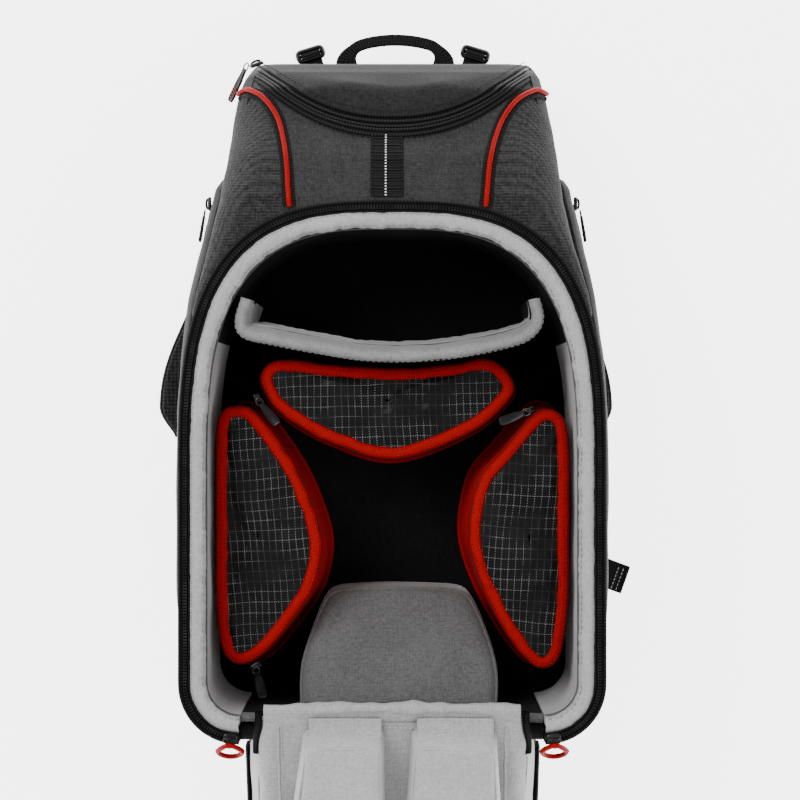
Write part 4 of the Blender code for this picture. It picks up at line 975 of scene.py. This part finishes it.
def make_pouch(name, outline, anchor, zip_at):
    """Organiser: red tray with bound seams, and a zip-round lid with a window in a red binding."""
    tray_body, lid_body = "pouch_" + name, "pouch_%s_lid" % name
    top = smooth_loop(outline, 10)
    top = top if signed_area(top) > 0 else top[::-1]
    base = [Vector(anchor) + (p - Vector(anchor)) * POUCH_FLARE for p in top]

    def wall(t):
        return [a.lerp(b, t) for a, b in zip(base, top)]

    rows = []
    for t in span(0.0, 1.0, 16):
        z = BAY_LOW + 0.0006 + (POUCH_TOP - BAY_LOW - 0.0012) * t
        sag = math.sin(math.pi * t)
        rows.append([Vector((g.x, g.y, z)) + Vector((1, 1, 0)) * 0.0007 * wrinkle((g.x, g.y, z), 34, 6.0) * sag
                     for g in grow(wall(t), -0.0016 * sag * 0.5 - 0.0003)])
    for z, inset in ((POUCH_TOP - 0.0001, -0.0012), (POUCH_TOP - 0.0004, -0.0026), (POUCH_TOP - 0.004, -0.0030),
                     (0.10, -0.0030), (0.06, -0.0034), (0.0450, -0.0034)):
        rows.append(at_height(grow(wall((z - BAY_LOW) / (POUCH_TOP - BAY_LOW)), inset), z))
    inner = wall(0.04)
    mid = sum(inner, Vector((0, 0))) / len(inner)
    rows += [at_height([mid + (p - mid) * scale for p in inner], 0.0442) for scale in (0.8, 0.5, 0.2)]
    quilt(rows, 0.5, "pouch_%s_tray" % name, "red_wall", tray_body, "pouch_tray_" + name, "red_trim")

    trim = Skin().tube(at_height(base, BAY_LOW + 0.0018), 0.0016, close=True)
    trim.tube(at_height(grow(top, -0.0013), POUCH_TOP - 0.0024), 0.0019, 10, close=True, flat=1.1)
    trim.build("pouch_%s_tray_binding" % name, "red_tape", tray_body)
    zipped = Skin().tube(at_height(grow(top, 0.0002), POUCH_TOP + 0.0002), 0.0009, close=True)
    zipped.build("pouch_%s_zip" % name, "coil", tray_body)

    low = POUCH_TOP + 0.0006
    dense = [p.to_2d() for p in resample(top, 0.0016, closed=True)]
    cols = []
    for inset, rise in ((0.0006, 0.0008), (0.0014, 0.0024), (0.0009, 0.0046), (-0.0008, 0.0066), (-0.0036, 0.0075),
                        (-0.0062, 0.0068), (-0.0078, 0.0052), (-0.0080, 0.0036), (-0.0060, 0.0020),
                        (-0.0020, 0.0006)):
        cols.append([Vector((p.x, p.y, low + rise + 0.0005 * wrinkle((p.x, p.y, inset), 150, 2.0)))
                     + Vector((0.0004, 0.0004, 0)) * wrinkle((p.x, p.y, 0.0), 110, 5.0)
                     for p in grow(dense, inset - 0.0008)])
    binding = Skin().grid(list(zip(*cols)), wrap=True, close=True).build(
        "pouch_%s_lid_binding" % name, "red_tape", lid_body, "pouch_lid_" + name, "red_trim", outward=True)
    thread = Skin()
    for inset, rise in ((-0.0070, 0.0070), (-0.0018, 0.0068)):
        thread.stitches(at_height(grow(dense, inset), low + rise), UP, 0.0024, 0.0012, 0.0003)
    thread.build("pouch_%s_stitching" % name, "thread_red", lid_body)

    edge = grow(dense, -0.0064)
    mid = sum(edge, Vector((0, 0))) / len(edge)
    rows = []
    for scale in span(1.0, 0.02, 34):
        row = []
        for p in edge:
            q = mid + (p - mid) * scale
            inside = min((p - mid).length * (1 - scale), 0.05)
            crease = 0.0014 * wrinkle((q.x, q.y * 0.6, 0.0), 42, 3.0) + 0.0008 * wrinkle((q.x * 0.8, q.y, 0), 95, 6.0)
            row.append(Vector((q.x, q.y, low + 0.0046 + 0.0012 * ease(inside, 0.0, 0.03)
                               + crease * ease(inside, 0.0, 0.012))))
        rows.append(row)
    window = Skin().grid(rows, wrap=True).build("pouch_%s_window" % name, "window_" + name, lid_body, slot="window")
    thicken(window, 0.0008, 0.0)
    xs, ys = [p.x for p in edge], [p.y for p in edge]
    max(xs) - min(xs)
    max(ys) - min(ys)

    x, y, along, hang = zip_at
    z = POUCH_TOP - 0.0020
    slider("pouch_slider_" + name, (x, y, z), along, size=(0.009, 0.006, 0.0030), body=tray_body)
    pull_tab("pouch_pull_" + name, (x, y, z + 0.0054), hang, UP.cross(Vector(hang)), 0.026, 0.0075,
             "pull_pouch_" + name)


def make_cradle():
    """Curved padded divider with a bound, stitched top edge, pale on the side towards the arch; below that edge its
    other walls carry the black floor cloth as painted shade.
    """
    route = ((-0.1120, 0.0780), (-0.1165, 0.0620), (-0.1130, 0.0525), (-0.0930, 0.0475), (-0.0560, 0.0405),
             (-0.0200, 0.0352), (0.0150, 0.0345), (0.0500, 0.0375), (0.0860, 0.0445), (0.1040, 0.0510),
             (0.1120, 0.0620), (0.1095, 0.0780))
    path = resample([p.to_3d() for p in smooth_path(route, 10)], 0.0016)
    profile = [(-0.0044, 0.0420), (-0.0046, 0.080), (-0.0047, 0.130), (-0.0045, 0.170), (-0.0043, 0.187),
               (-0.0046, 0.1905), (-0.0044, 0.1945), (-0.0032, 0.1972), (-0.0008, 0.1984), (0.0018, 0.1978),
               (0.0040, 0.1955), (0.0056, 0.1915), (0.0076, 0.185), (0.0108, 0.170), (0.0122, 0.150),
               (0.0112, 0.120), (0.0080, 0.085), (0.0050, 0.055), (0.0044, 0.0420)]

    def swell(point, away):
        near_end = min((point - path[0]).length, (point - path[-1]).length)
        return away if away < 0.0044 else 0.0044 + (away - 0.0044) * ease(near_end, 0.0, 0.035)

    rows = []
    for point, _, side, _ in frames(path):
        row = []
        for away, z in profile:
            at = (point.x, point.y, z)
            lump = 0.0007 * wrinkle(at, 48, 2.0) + 0.00035 * wrinkle(at, 170, 5.0)
            row.append(point - side * (swell(point, away) + (lump if away > 0 else -lump * 0.5)) + Vector((0, 0, z)))
        rows.append(row)
    cradle = quilt(rows, 0.7, "cradle_pad", ["lining_soft", "floor"], "cradle", "controller_cradle", "lining")
    # painted shade: walls below the top edge that face away from the arch, apart from the ends, get the black floor
    # cloth
    dye(cradle, 1, lambda poly: poly.center.z < 0.1885 and poly.normal.y < 0.35 and poly.normal.z < 0.4
        and abs(poly.center.x) < 0.108)
    thread = Skin()
    for away, z in ((-0.0048, 0.1905), (0.0088, 0.1835)):
        line = [point - side * swell(point, away) + Vector((0, 0, z)) for point, _, side, _ in frames(path)]
        thread.stitches(line, (0, math.copysign(1, away), 0.7), 0.0030, 0.0015, 0.0004)
    thread.build("cradle_stitching", "tab_grey", "cradle")
    Skin().tube(resample(line, 0.003), 0.0008, 6).build("cradle_seam", "tab_grey", "cradle")


def make_bolster():
    """Loose brushed pad at the lower end of the bay, sloping down towards the middle."""
    outline = ((-0.0700, -0.2418), (-0.0350, -0.2415), (0.0, -0.2415), (0.0400, -0.2415), (0.0800, -0.2418),
               (0.0838, -0.2370), (0.0836, -0.2120), (0.0750, -0.1830), (0.0640, -0.1605), (0.0540, -0.1540),
               (0.0300, -0.1522), (0.0, -0.1515), (-0.0260, -0.1522), (-0.0470, -0.1545), (-0.0560, -0.1625),
               (-0.0660, -0.1870), (-0.0733, -0.2120), (-0.0735, -0.2370))
    loop = resample([p.to_3d() for p in smooth_loop(outline, 6)], 0.0045, closed=True)
    mid = Vector((0.0, -0.200, 0.0))

    def height(y, level):
        return BAY_LOW + (0.160 - 0.060 * (y + 0.2415) / 0.0895 - BAY_LOW) * level

    rows = []
    for level, scale in ((0.0, 0.97), (0.04, 0.995), (0.2, 1.0), (0.4, 1.0), (0.6, 1.0), (0.78, 1.0), (0.86, 0.995),
                         (0.92, 0.98), (0.96, 0.955), (0.985, 0.92), (0.997, 0.87), (1.003, 0.78), (1.006, 0.66),
                         (1.008, 0.52), (1.010, 0.38), (1.010, 0.24), (1.010, 0.10)):
        soft = 0.0009 * ease(level, 0.5, 1.0)
        rows.append([Vector((q.x, q.y, height(q.y, level) + soft * wrinkle(q, 34, 2.0)))
                     for q in (mid + (p - mid) * scale for p in loop)])
    quilt(rows, 0.6, "bolster_pad", "brushed", "bolster", "bay_bolster", "flap_lining")
    seam = [mid + (p - mid) * 0.975 for p in loop]
    Skin().tube([Vector((q.x, q.y, height(q.y, 0.935))) for q in seam], 0.0012, close=True).build(
        "bolster_seam", "brushed", "bolster")


# ---------------------------------------------------------------- outside fittings
def make_side_pockets():
    """Slim zipped pocket down each side, with its zip along the middle under a piped flap."""
    shape = np.array((  # y, bulge, half height
        (-0.214, 0.0005, 0.020), (-0.208, 0.0030, 0.036), (-0.200, 0.0045, 0.048), (-0.150, 0.0065, 0.058),
        (-0.050, 0.0070, 0.060), (0.020, 0.0070, 0.060), (0.060, 0.0095, 0.060), (0.110, 0.0115, 0.056),
        (0.150, 0.0118, 0.050), (0.168, 0.0098, 0.040), (0.176, 0.0055, 0.026), (0.178, 0.0020, 0.012)))
    for name, sign in SIDES:
        rows, ridge = [], []
        for y in span(-0.214, 0.178, 150):
            bulge, tall = (np.interp(y, shape[:, 0], shape[:, k]) for k in (1, 2))
            half = section_at(y)[0]
            row = []
            for a in np.linspace(-math.pi / 2, math.pi / 2, 31):
                ca, sa = math.cos(a), math.sin(a)
                soft = 1 + 0.10 * wrinkle((sign, y, sa * 0.05), 26, 3.0) * ca
                seam = 0.0010 * dent(sa * tall - 0.008, 0.0035)
                reach = -0.0012 + (bulge + 0.0012) * ca ** 0.75 * soft - seam * ease(bulge, 0.002, 0.006)
                row.append(Vector((sign * (half + reach), y, 0.104 + tall * power(sa, 0.75))))
            rows.append(row)
            ridge.append(Vector((sign * (half + bulge - 0.0002), y, 0.112)))
        piece = "side_pocket_%s_" % name
        pocket = Skin().grid(rows).build(piece + "cloth", "outer", nodes="side_pocket_" + name)
        thicken(pocket, 0.0012, 0.0)
        Skin().tube(ridge[14:136], 0.0016).build(piece + "zip", "coil")
        welts = Skin()
        for off in (0.0048, -0.0048):
            welts.tube([p + Vector((sign * -0.0003, 0, off)) for p in ridge[8:142]], 0.0011)
        welts.build(piece + "welts", "webbing")
        line = resample([row[28] + Vector((sign * 0.0002, 0.0, 0.0004)) for row in rows], 0.004)
        Skin().tube(line, 0.0017, 10, up=(sign, 0, 0)).build(piece + "piping", "outer")


def strap_rows(path, width, thick, crown=0.0, edge=0.35, widths=None, lumps=0.0):
    """Rows of a rounded flat section carried along a path."""
    rows = []
    for i, (point, _, side, _) in enumerate(frames([Vector(p) for p in path])):
        half = (widths[i] if widths else width) / 2
        row = []
        for k in range(28):
            ca, sa = math.cos(TAU * k / 28), math.sin(TAU * k / 28)
            u = half * power(ca, edge)
            v = thick / 2 * power(sa, 0.6) * (1 + crown * (1 - (u / half) ** 2))
            v += lumps * wrinkle((point.x, point.y, u), 40, 3.0) * abs(sa)
            row.append(point + side * u + UP * v)
        rows.append(row)
    return rows


def make_handle():
    """Grab handle of folded webbing, widening into its two sewn feet."""
    route = ((-0.0386, 0.2814, 0.0330), (-0.0384, 0.2850, 0.0337), (-0.0350, 0.2915, 0.0350),
             (-0.0265, 0.2975, 0.0365), (-0.0080, 0.3010, 0.0375), (0.0120, 0.3010, 0.0375),
             (0.0310, 0.2975, 0.0365), (0.0392, 0.2915, 0.0350), (0.0423, 0.2850, 0.0337),
             (0.0425, 0.2814, 0.0330))
    path = resample(smooth_path(route, 10), 0.0016)
    last = len(path) - 1
    widths = [0.0095 + 0.0085 * (1 - ease(min(i, last - i) * 0.0016, 0.0, 0.016)) for i in range(last + 1)]
    solid(strap_rows(path, 0.0095, 0.0036, widths=widths, edge=0.5), "grab_handle_strap", "webbing", "handle",
          "grab_handle")
    thread = Skin()
    for off in (-0.0032, 0.0032):
        thread.stitches([p + side * off + Vector((0, 0, 0.0018)) for p, _, side, _ in frames(path)],
                        UP, 0.0024, 0.0013)
    thread.build("grab_handle_stitching", "thread_dark", "handle", slot="webbing")
    for name, x in (("left", -0.0386), ("right", 0.0425)):
        line = [(x, 0.2770, 0.0335), (x, 0.2790, 0.0335), (x, 0.2812, 0.0333)]
        solid(strap_rows(line, 0.021, 0.0042, edge=0.4), "handle_foot_" + name, "webbing")


def buckle(name, node, centre, turn, size, bars, body="case"):
    """Moulded ladder buckle: a rounded frame with cross bars."""
    c, s = math.cos(turn), math.sin(turn)
    u, v = Vector((c, s, 0)), Vector((-s, c, 0))
    centre = Vector(centre)
    width, length, height = size
    loop = resample([p.to_3d() for p in rounded_rect(width - 0.004, length - 0.004, 0.0025, 5)], 0.0012, closed=True)
    flat = height / 0.0042
    skin = Skin().tube([centre + u * p.x + v * p.y for p in loop], 0.0021, 10, close=True, flat=flat)
    for off in bars:
        skin.tube([centre + u * x + v * off for x in np.linspace(-width / 2 + 0.003, width / 2 - 0.003, 5)],
                  0.0014, flat=flat)
    skin.build(name, "plastic", body, node, "hardware", outward=True)
    return centre, u, v


def make_harness():
    """Lifter buckles, shoulder straps with their ladder locks, and the lower webbing."""
    for (name, sign), out in zip(SIDES, (0.1665, 0.1545)):
        body = "strap_" + name
        centre, u, v = buckle("lifter_buckle_%s_frame" % name, "lifter_buckle_" + name, (sign * 0.069, 0.2895, 0.0378),
                              math.radians(-17 * sign), (0.025, 0.012, 0.0070), (0.0,))
        line = [centre + v * d + UP * h for d, h in ((-0.0115, -0.0008), (-0.0075, -0.0002), (-0.003, 0.0028),
                                                     (0.0, 0.0036), (0.002, 0.0026))]
        solid(strap_rows(smooth_path(line, 4), 0.0165, 0.0016), "lifter_strap_" + name, "webbing")
        bar = [centre - v * 0.0046 + UP * 0.0032 + u * x for x in np.linspace(-0.009, 0.009, 6)]
        Skin().tube(bar, 0.0009).build("lifter_bar_" + name, "metal", slot="hardware")

        route = ((0.062, 0.197), (out - 0.0700, 0.165), (out - 0.0450, 0.112), (out - 0.0210, 0.060),
                 (out - 0.0030, 0.014), (out, -0.032))
        path = resample(smooth_path([(sign * x, y, 0.0068) for x, y in route], 10), 0.003)
        widths = [0.0615 * (0.50 + 0.50 * ease((len(path) - 1 - i) * 0.003, -0.006, 0.026)) for i in range(len(path))]
        quilt(strap_rows(path, 0.0615, 0.0118, crown=0.06, edge=0.28, lumps=0.0006, widths=widths), 0.6,
              "shoulder_strap_%s_pad" % name, "mesh", body, "shoulder_strap_" + name, "back_mesh")
        bind = Skin()
        for off in (-0.0312, 0.0312):
            bind.tube([p + side * (off * w / 0.0615) for (p, _, side, _), w in zip(frames(path), widths)],
                      0.0016, flat=1.5)
        bind.build("shoulder_binding_" + name, "webbing", body)
        solid(strap_rows([p + Vector((0, 0, 0.0062)) for p in path], 0.024, 0.0014), "shoulder_webbing_" + name,
              "webbing", body)
        buckle("ladder_lock_%s_frame" % name, "ladder_lock_" + name, (sign * out, -0.0445, 0.0062), 0.0,
               (0.034, 0.022, 0.0080), (-0.004, 0.004), body)
        line = [(sign * out, y, z) for y, z in ((-0.028, 0.0098), (-0.0355, 0.0100), (-0.0400, 0.0088))]
        solid(strap_rows(smooth_path(line, 4), 0.0240, 0.0016), "shoulder_loop_" + name, "webbing", body)

        route = ((out, -0.0565, 0.0060), (out - 0.003, -0.100, 0.0064), (out - 0.012, -0.160, 0.0100),
                 (0.134, -0.222, 0.0155))
        path = resample(smooth_path([(sign * x, y, z) for x, y, z in route], 10), 0.002)
        solid(strap_rows(path, 0.0245, 0.0018), "lower_webbing_%s_strap" % name, "webbing", "case",
              "lower_webbing_" + name)
    tail = ((0.150, -0.1360, 0.0056), (0.158, -0.1392, 0.0042), (0.168, -0.1425, 0.0022), (0.175, -0.1450, 0.0024),
            (0.183, -0.148, 0.0022), (0.191, -0.151, 0.0023), (0.198, -0.1535, 0.0022))
    solid(strap_rows(resample(smooth_path(tail, 6), 0.001), 0.0245, 0.0022), "strap_tail_end", "webbing", "case",
          "strap_tail")
    solid(strap_rows([(0.1965, -0.1530, 0.0030), (0.1982, -0.1536, 0.0032)], 0.0240, 0.0028), "strap_tail_fold",
          "webbing")
    thread = Skin()
    across = Vector((0.34, 0.94, 0)).normalized()
    for d in (-0.004, -0.008):
        mid = Vector((0.1975, -0.1533, 0.0040)) + Vector((d, -d * 0.33, -0.0004))
        thread.stitches([mid + across * t for t in np.linspace(-0.010, 0.010, 8)], UP, 0.0022, 0.001)
    thread.build("strap_tail_stitching", "thread_light", slot="webbing")


# ---------------------------------------------------------------- front flap
FLAP_HINGE = Vector((0.0, -0.240, 0.206))
DROOP = math.radians(26.5)
CREASE, PIVOT_N, FOLD = 0.0923, -0.0130, math.radians(80.0)
FLAP_HALF, WING_EDGE, TOOTH = 0.0900, 0.1612, (0.0013, 0.0030, 0.0022)
RUN = Vector((0.0, -math.cos(DROOP), -math.sin(DROOP)))
INNER = Vector((0.0, -math.sin(DROOP), math.cos(DROOP)))


def flap_point(x, s, n):
    return FLAP_HINGE + Vector((x, 0.0, 0.0)) + RUN * s + INNER * n


def arch_reach(x):
    """How far from the hinge the flap's arched end lies."""
    ratio = min(abs(x) / 0.1615, 1.0)
    return OPEN_ARCH_Y + 0.2105 * (1 - ratio ** 3.0) ** (1 / 3.0) + 0.240


def wing_place(across, s, n, sign):
    """Point of a wing turned down about the crease; `across` is measured flat from the middle."""
    dx, dn = across - CREASE, n - PIVOT_N
    tx = dx * math.cos(FOLD) + dn * math.sin(FOLD)
    tn = -dx * math.sin(FOLD) + dn * math.cos(FOLD)
    return flap_point(sign * (CREASE + tx), s, PIVOT_N + tn)


def wing_start(across):
    """Where the wing's diagonal lower edge lies, from the hinge."""
    return 0.040 + 0.45 * max(across - CREASE, 0.0) + 0.012 * ease(across, 0.150, 0.1615)


def crease_turn(sign, s, n, angle):
    lever = n - PIVOT_N
    return flap_point(sign * (CREASE + lever * math.sin(angle)), s, PIVOT_N + lever * math.cos(angle))


def bend_at_crease(obj, name, sign):
    """Bake a strip's placement into its mesh; nothing bends it."""
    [crease_turn(sign, 0.1, -0.0006, math.radians(turn)) for turn in (4, 74)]
    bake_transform(obj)


def make_panels():
    """The flap's flat middle: pale lining over the outer shell."""
    for name, low, high, mat, slot, way, soft in (
            ("flap_lining", -0.0046, -0.0004, "flap", "flap_lining", 1, 1),
            ("flap_shell", -0.0050, -0.0126, "outer", "outer_fabric", -1, 0.6)):
        near = 0.0045 if way > 0 else 0.011
        rows = []
        for i in range(91):
            x = -FLAP_HALF + 2 * FLAP_HALF * i / 90
            end = arch_reach(x) - 0.0015
            spots = span(near, end, 96)
            ring = []
            for s in spots:
                edge = min(s - near, end - s)
                swell = 0.0016 * ease(edge, 0.0, 0.012) - 0.0010
                lump = 0.0008 * wrinkle((x, s, 0.0), 24, 3.0) + 0.0004 * wrinkle((x, s, 0.0), 80, 8.0)
                ring.append(flap_point(x, s, high + way * (swell * 0.6 + lump * soft) * ease(edge, 0.0, 0.006)))
            rows.append(ring + [flap_point(x, s, low) for s in reversed(spots)])
        quilt(rows, 0.5, name + "_cloth", mat, "front_flap", name, slot)


def make_wing(name, sign):
    """One hanging wing: the crease strip that joins it, its two cloths, and its half of the zip."""
    wing_body = "wing_" + name
    spots = span(0.0035, arch_reach(CREASE) - 0.002, 110)
    rows = [[flap_point(sign * x, s, -0.0007) for s in spots] for x in (0.0875, 0.0890, 0.0905)]
    for angle in span(0.0, FOLD, 15):
        rows.append([crease_turn(sign, s, -0.0006 + 0.0006 * wrinkle((0.0, s, angle * 0.02), 60, 4.0 + sign),
                                 angle * (0.55 + 0.45 * ease(s, 0.006, 0.040))) for s in spots])
    bend = Skin().grid(rows).build("flap_crease_" + name, "flap", None, facing=INNER)
    thicken(bend, 0.0014)
    bend_at_crease(bend, name, sign)
    line = [crease_turn(sign, s, 0.0006, FOLD * (0.62 + 0.33 * ease(s, 0.006, 0.040)))
            for s in span(0.0015, 0.043, 26)]
    gusset = Skin().tube(line, 0.0030, flat=0.7, up=INNER)
    gusset.teeth(resample(line, TOOTH_STEP), lambda p, side, lift: p + side * (0.0024 * sign) + lift * 0.001,
                 (0.0013, 0.0026, 0.0024), INNER)
    bend_at_crease(gusset.build("gusset_zip_" + name, "zip_tape", None), name, sign)

    for part, n_out, n_in, way, mat, slot in (("lining", -0.0006, -0.0050, 1, "flap", "flap_lining"),
                                              ("shell", -0.0126, -0.0054, -1, "outer", "outer_fabric")):
        rows = []
        for i in range(56):
            across = CREASE + 0.0004 + (0.1610 - CREASE) * i / 55
            begin = wing_start(across)
            end = max(arch_reach(min(across, 0.1600)) - 0.0012, begin + 0.02)
            spots = span(begin, end, 80)
            ring = []
            for s in spots:
                edge = min(s - begin, end - s, WING_EDGE - across)
                soft = (0.0012 * ease(edge, 0.0, 0.012) - 0.0008) + 0.0009 * wrinkle((across, s, 0.0), 26, sign + 5.0)
                ring.append(wing_place(across, s, n_out + way * soft * ease(edge, 0.0, 0.005), sign))
            rows.append(ring + [wing_place(across, s, n_in, sign) for s in reversed(spots)])
        wing = quilt(rows, 0.4, "flap_wing_%s_%s" % (name, part), mat, wing_body,
                     "flap_wing_" + name if part == "lining" else (), slot)
        if part == "lining":
            wing.data.materials.append(MATS["zip_tape"])

            def by_the_zip(poly):
                tx = sign * poly.center.x - CREASE
                tn = (poly.center - FLAP_HINGE).dot(INNER) - PIVOT_N
                return CREASE + tx * math.cos(FOLD) - tn * math.sin(FOLD) > 0.1480

            dye(wing, 1, by_the_zip)

    line = [wing_place(x, wing_start(x) - 0.0008, -0.0040, sign) for x in span(CREASE + 0.001, 0.1600, 40)]
    line += [wing_place(0.1622, s, -0.0004, sign) for s in span(wing_start(WING_EDGE), 0.168, 60)]
    line += [wing_place(x, arch_reach(x) - 0.0004, -0.0030, sign) for x in span(WING_EDGE, CREASE + 0.001, 60)]
    line = resample(line, TOOTH_STEP)

    def toward_middle(p):
        return FLAP_HINGE + RUN * 0.10 + Vector((0, 0, -0.03)) - p

    tape = Skin().tube(line, 0.0034, flat=0.8, up=toward_middle)
    tape.build("flap_zip_tape_" + name, "zip_tape", wing_body, outward=True)
    teeth = Skin().teeth(line, lambda p, side, _: p + side * (0.0026 * sign), TOOTH, toward_middle)
    teeth.build("flap_zip_teeth_" + name, "teeth", wing_body, smooth=False)


def make_flap():
    """Padded flap folded open: flat middle, creases, hanging wings and the other half of the zip."""
    make_panels()
    for name, sign in SIDES:
        make_wing(name, sign)
    tip = [flap_point(x, arch_reach(x) - 0.0008, -0.0060) for x in np.linspace(-0.0915, 0.0915, 90)]
    tape = Skin().tube(tip, 0.0028, flat=0.6, up=INNER)
    tape.build("flap_zip_tape_tip", "zip_tape", "front_flap", outward=True)
    teeth = Skin().teeth(resample(tip, TOOTH_STEP), lambda p, side, lift: p + RUN * 0.0024, TOOTH, INNER)
    teeth.build("flap_zip_teeth_tip", "teeth", "front_flap", smooth=False)

    seams, thread = Skin(), Skin()
    for x in (-0.0876, 0.0876):
        seams.tube([flap_point(x + 0.0004 * wrinkle((x, s, 0), 60), s, 0.0002)
                    for s in span(0.012, arch_reach(0.0876) - 0.003, 60)], 0.0010, up=INNER)
    seams.build("flap_seams", "flap", "front_flap", outward=True)
    for x in (-0.0852, 0.0852):
        thread.stitches([flap_point(x, s, 0.0006) for s in span(0.012, arch_reach(0.085) - 0.004, 60)],
                        INNER, 0.0026, 0.0014, 0.00035)
    thread.stitches([flap_point(x, 0.0128 + 0.0005 * math.sin(x * 60), 0.0006) for x in span(-0.083, 0.083, 60)],
                    INNER, 0.0022, 0.0018, 0.0005)
    thread.build("flap_stitching", "thread_light", "front_flap", slot="flap_lining")


def make_hinge():
    """Soft roll of lining and strip of outer cloth that join the flap to the body."""
    rows = []
    for i in range(141):
        x = -0.0985 + 0.197 * i / 140
        wave = 0.0008 * wrinkle((x, 0, 0), 90, 3.0) + 0.0008 * math.sin(x * 95)
        inward = 0.0018 + 0.0014 * (1 - (x / FLAP_HALF) ** 2)
        row = [Vector((x, -0.2442, 0.1790)), Vector((x, -0.2432, 0.1880)), Vector((x, -0.2408 + inward * 0.4, 0.1960))]
        centre = Vector((x, -0.2392 + inward, 0.2036))
        for a in (math.radians(deg) for deg in range(10, 151, 14)):
            row.append(centre + Vector((0, math.cos(a) * (0.0046 + wave), math.sin(a) * (0.0049 + wave))))
        rows.append(row + [flap_point(x, 0.0058, -0.0004), flap_point(x, 0.0088, -0.0008)])
    roll = Skin().grid(rows).build("hinge_roll", "flap", None, slot="lining", facing=UP)
    thicken(roll, 0.0014)
    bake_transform(roll)
    fixed = ((-0.2600, 0.1735), (-0.2570, 0.1800), (-0.2545, 0.1860), (-0.2545, 0.1932))
    rows = [[Vector((x, y, z)) for y, z in fixed] + [flap_point(x, 0.0105, -0.0128), flap_point(x, 0.0150, -0.0134)]
            for x in (-FLAP_HALF + 2 * FLAP_HALF * i / 60 for i in range(61))]
    strip = Skin().grid(rows).build("hinge_strip", "outer", None)
    thicken(strip, 0.0014, 0.0)
    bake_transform(strip)


def make_battery_pockets():
    """Two gusseted pockets of grey twill, each with a folded, open mouth towards the hinge."""
    for name, corners in (("left", ((-0.068, 0.014), (-0.006, 0.014), (-0.005, 0.128), (-0.084, 0.128))),
                          ("right", ((0.015, 0.014), (0.080, 0.014), (0.088, 0.128), (0.008, 0.128)))):
        cs = [Vector(c) for c in corners]
        outline = []
        for i, corner in enumerate(cs):
            before, after = ((cs[k] - corner).normalized() * 0.006 for k in (i - 1, (i + 1) % 4))
            outline += [corner + before * (1 - t) ** 2 + after * t ** 2 for t in (0.0, 0.25, 0.5, 0.75, 1.0)]
        loop = [p.to_2d() for p in resample([q.to_3d() for q in outline], 0.0035, closed=True)]
        mid = Vector((sum(c.x for c in cs) / 4, sum(c.y for c in cs) / 4))
        rows = []
        for n, scale in ((0.0004, 1.0), (0.004, 0.995), (0.009, 0.985), (0.014, 0.970), (0.0185, 0.950),
                         (0.0220, 0.925), (0.0245, 0.890), (0.0258, 0.845), (0.0264, 0.78), (0.0268, 0.68),
                         (0.0270, 0.55), (0.0270, 0.40), (0.0270, 0.25), (0.0270, 0.10)):
            row = []
            for q in (mid + (p - mid) * scale for p in loop):
                soft = wrinkle((q.x, q.y, n), 36, 2.0) * 0.0014 * ease(n, 0.002, 0.02)
                pull = 0.0024 * ease(n, 0.018, 0.027) * (1 - ease(q.y, 0.016, 0.05))
                row.append(flap_point(q.x, q.y, n + soft - pull))
            rows.append(row)
        piece = "battery_pocket_%s_" % name
        # painted light: the pocket cloth uses the brighter copy of the flap's grey twill
        bag = solid(rows, piece + "cloth", "pocket", "front_flap", "battery_pocket_" + name, "flap_lining")
        inflate(bag, hold=lambda co: (co - FLAP_HINGE).dot(INNER) < 0.006)
        xs = span(min(c.x for c in cs[:2]) + 0.004, max(c.x for c in cs[:2]) - 0.002, 30)
        cover = [[flap_point(x, s, 0.0020 + 0.0100 * ease(s, 0.004, 0.0225) + 0.0007 * wrinkle((x, s, 0.0), 50, 6.0))
                  for x in xs] for s in span(0.0035, 0.0225, 12)]
        thicken(Skin().grid(cover).build(piece + "top", "flap", "front_flap", facing=INNER), 0.0012)
        seam = [flap_point(q.x, q.y, 0.0232 - 0.0022 * (1 - ease(q.y, 0.016, 0.05)))
                for q in (mid + (p - mid) * 0.915 for p in loop)]
        # painted light: the seam uses the same brighter copy of the grey twill
        Skin().tube(seam, 0.0009, 6, close=True, up=INNER).build(piece + "seam", "pocket", "front_flap", outward=True)


def main():
    make_stage()
    make_shell()
    make_back()
    make_linings()
    make_main_zip()
    make_lid()
    make_hood_trim()
    make_sliders()
    for name, spec in POUCHES.items():
        make_pouch(name, *spec)
    make_cradle()
    make_bolster()
    make_side_pockets()
    make_handle()
    make_harness()
    make_flap()
    make_hinge()
    make_battery_pockets()


main()
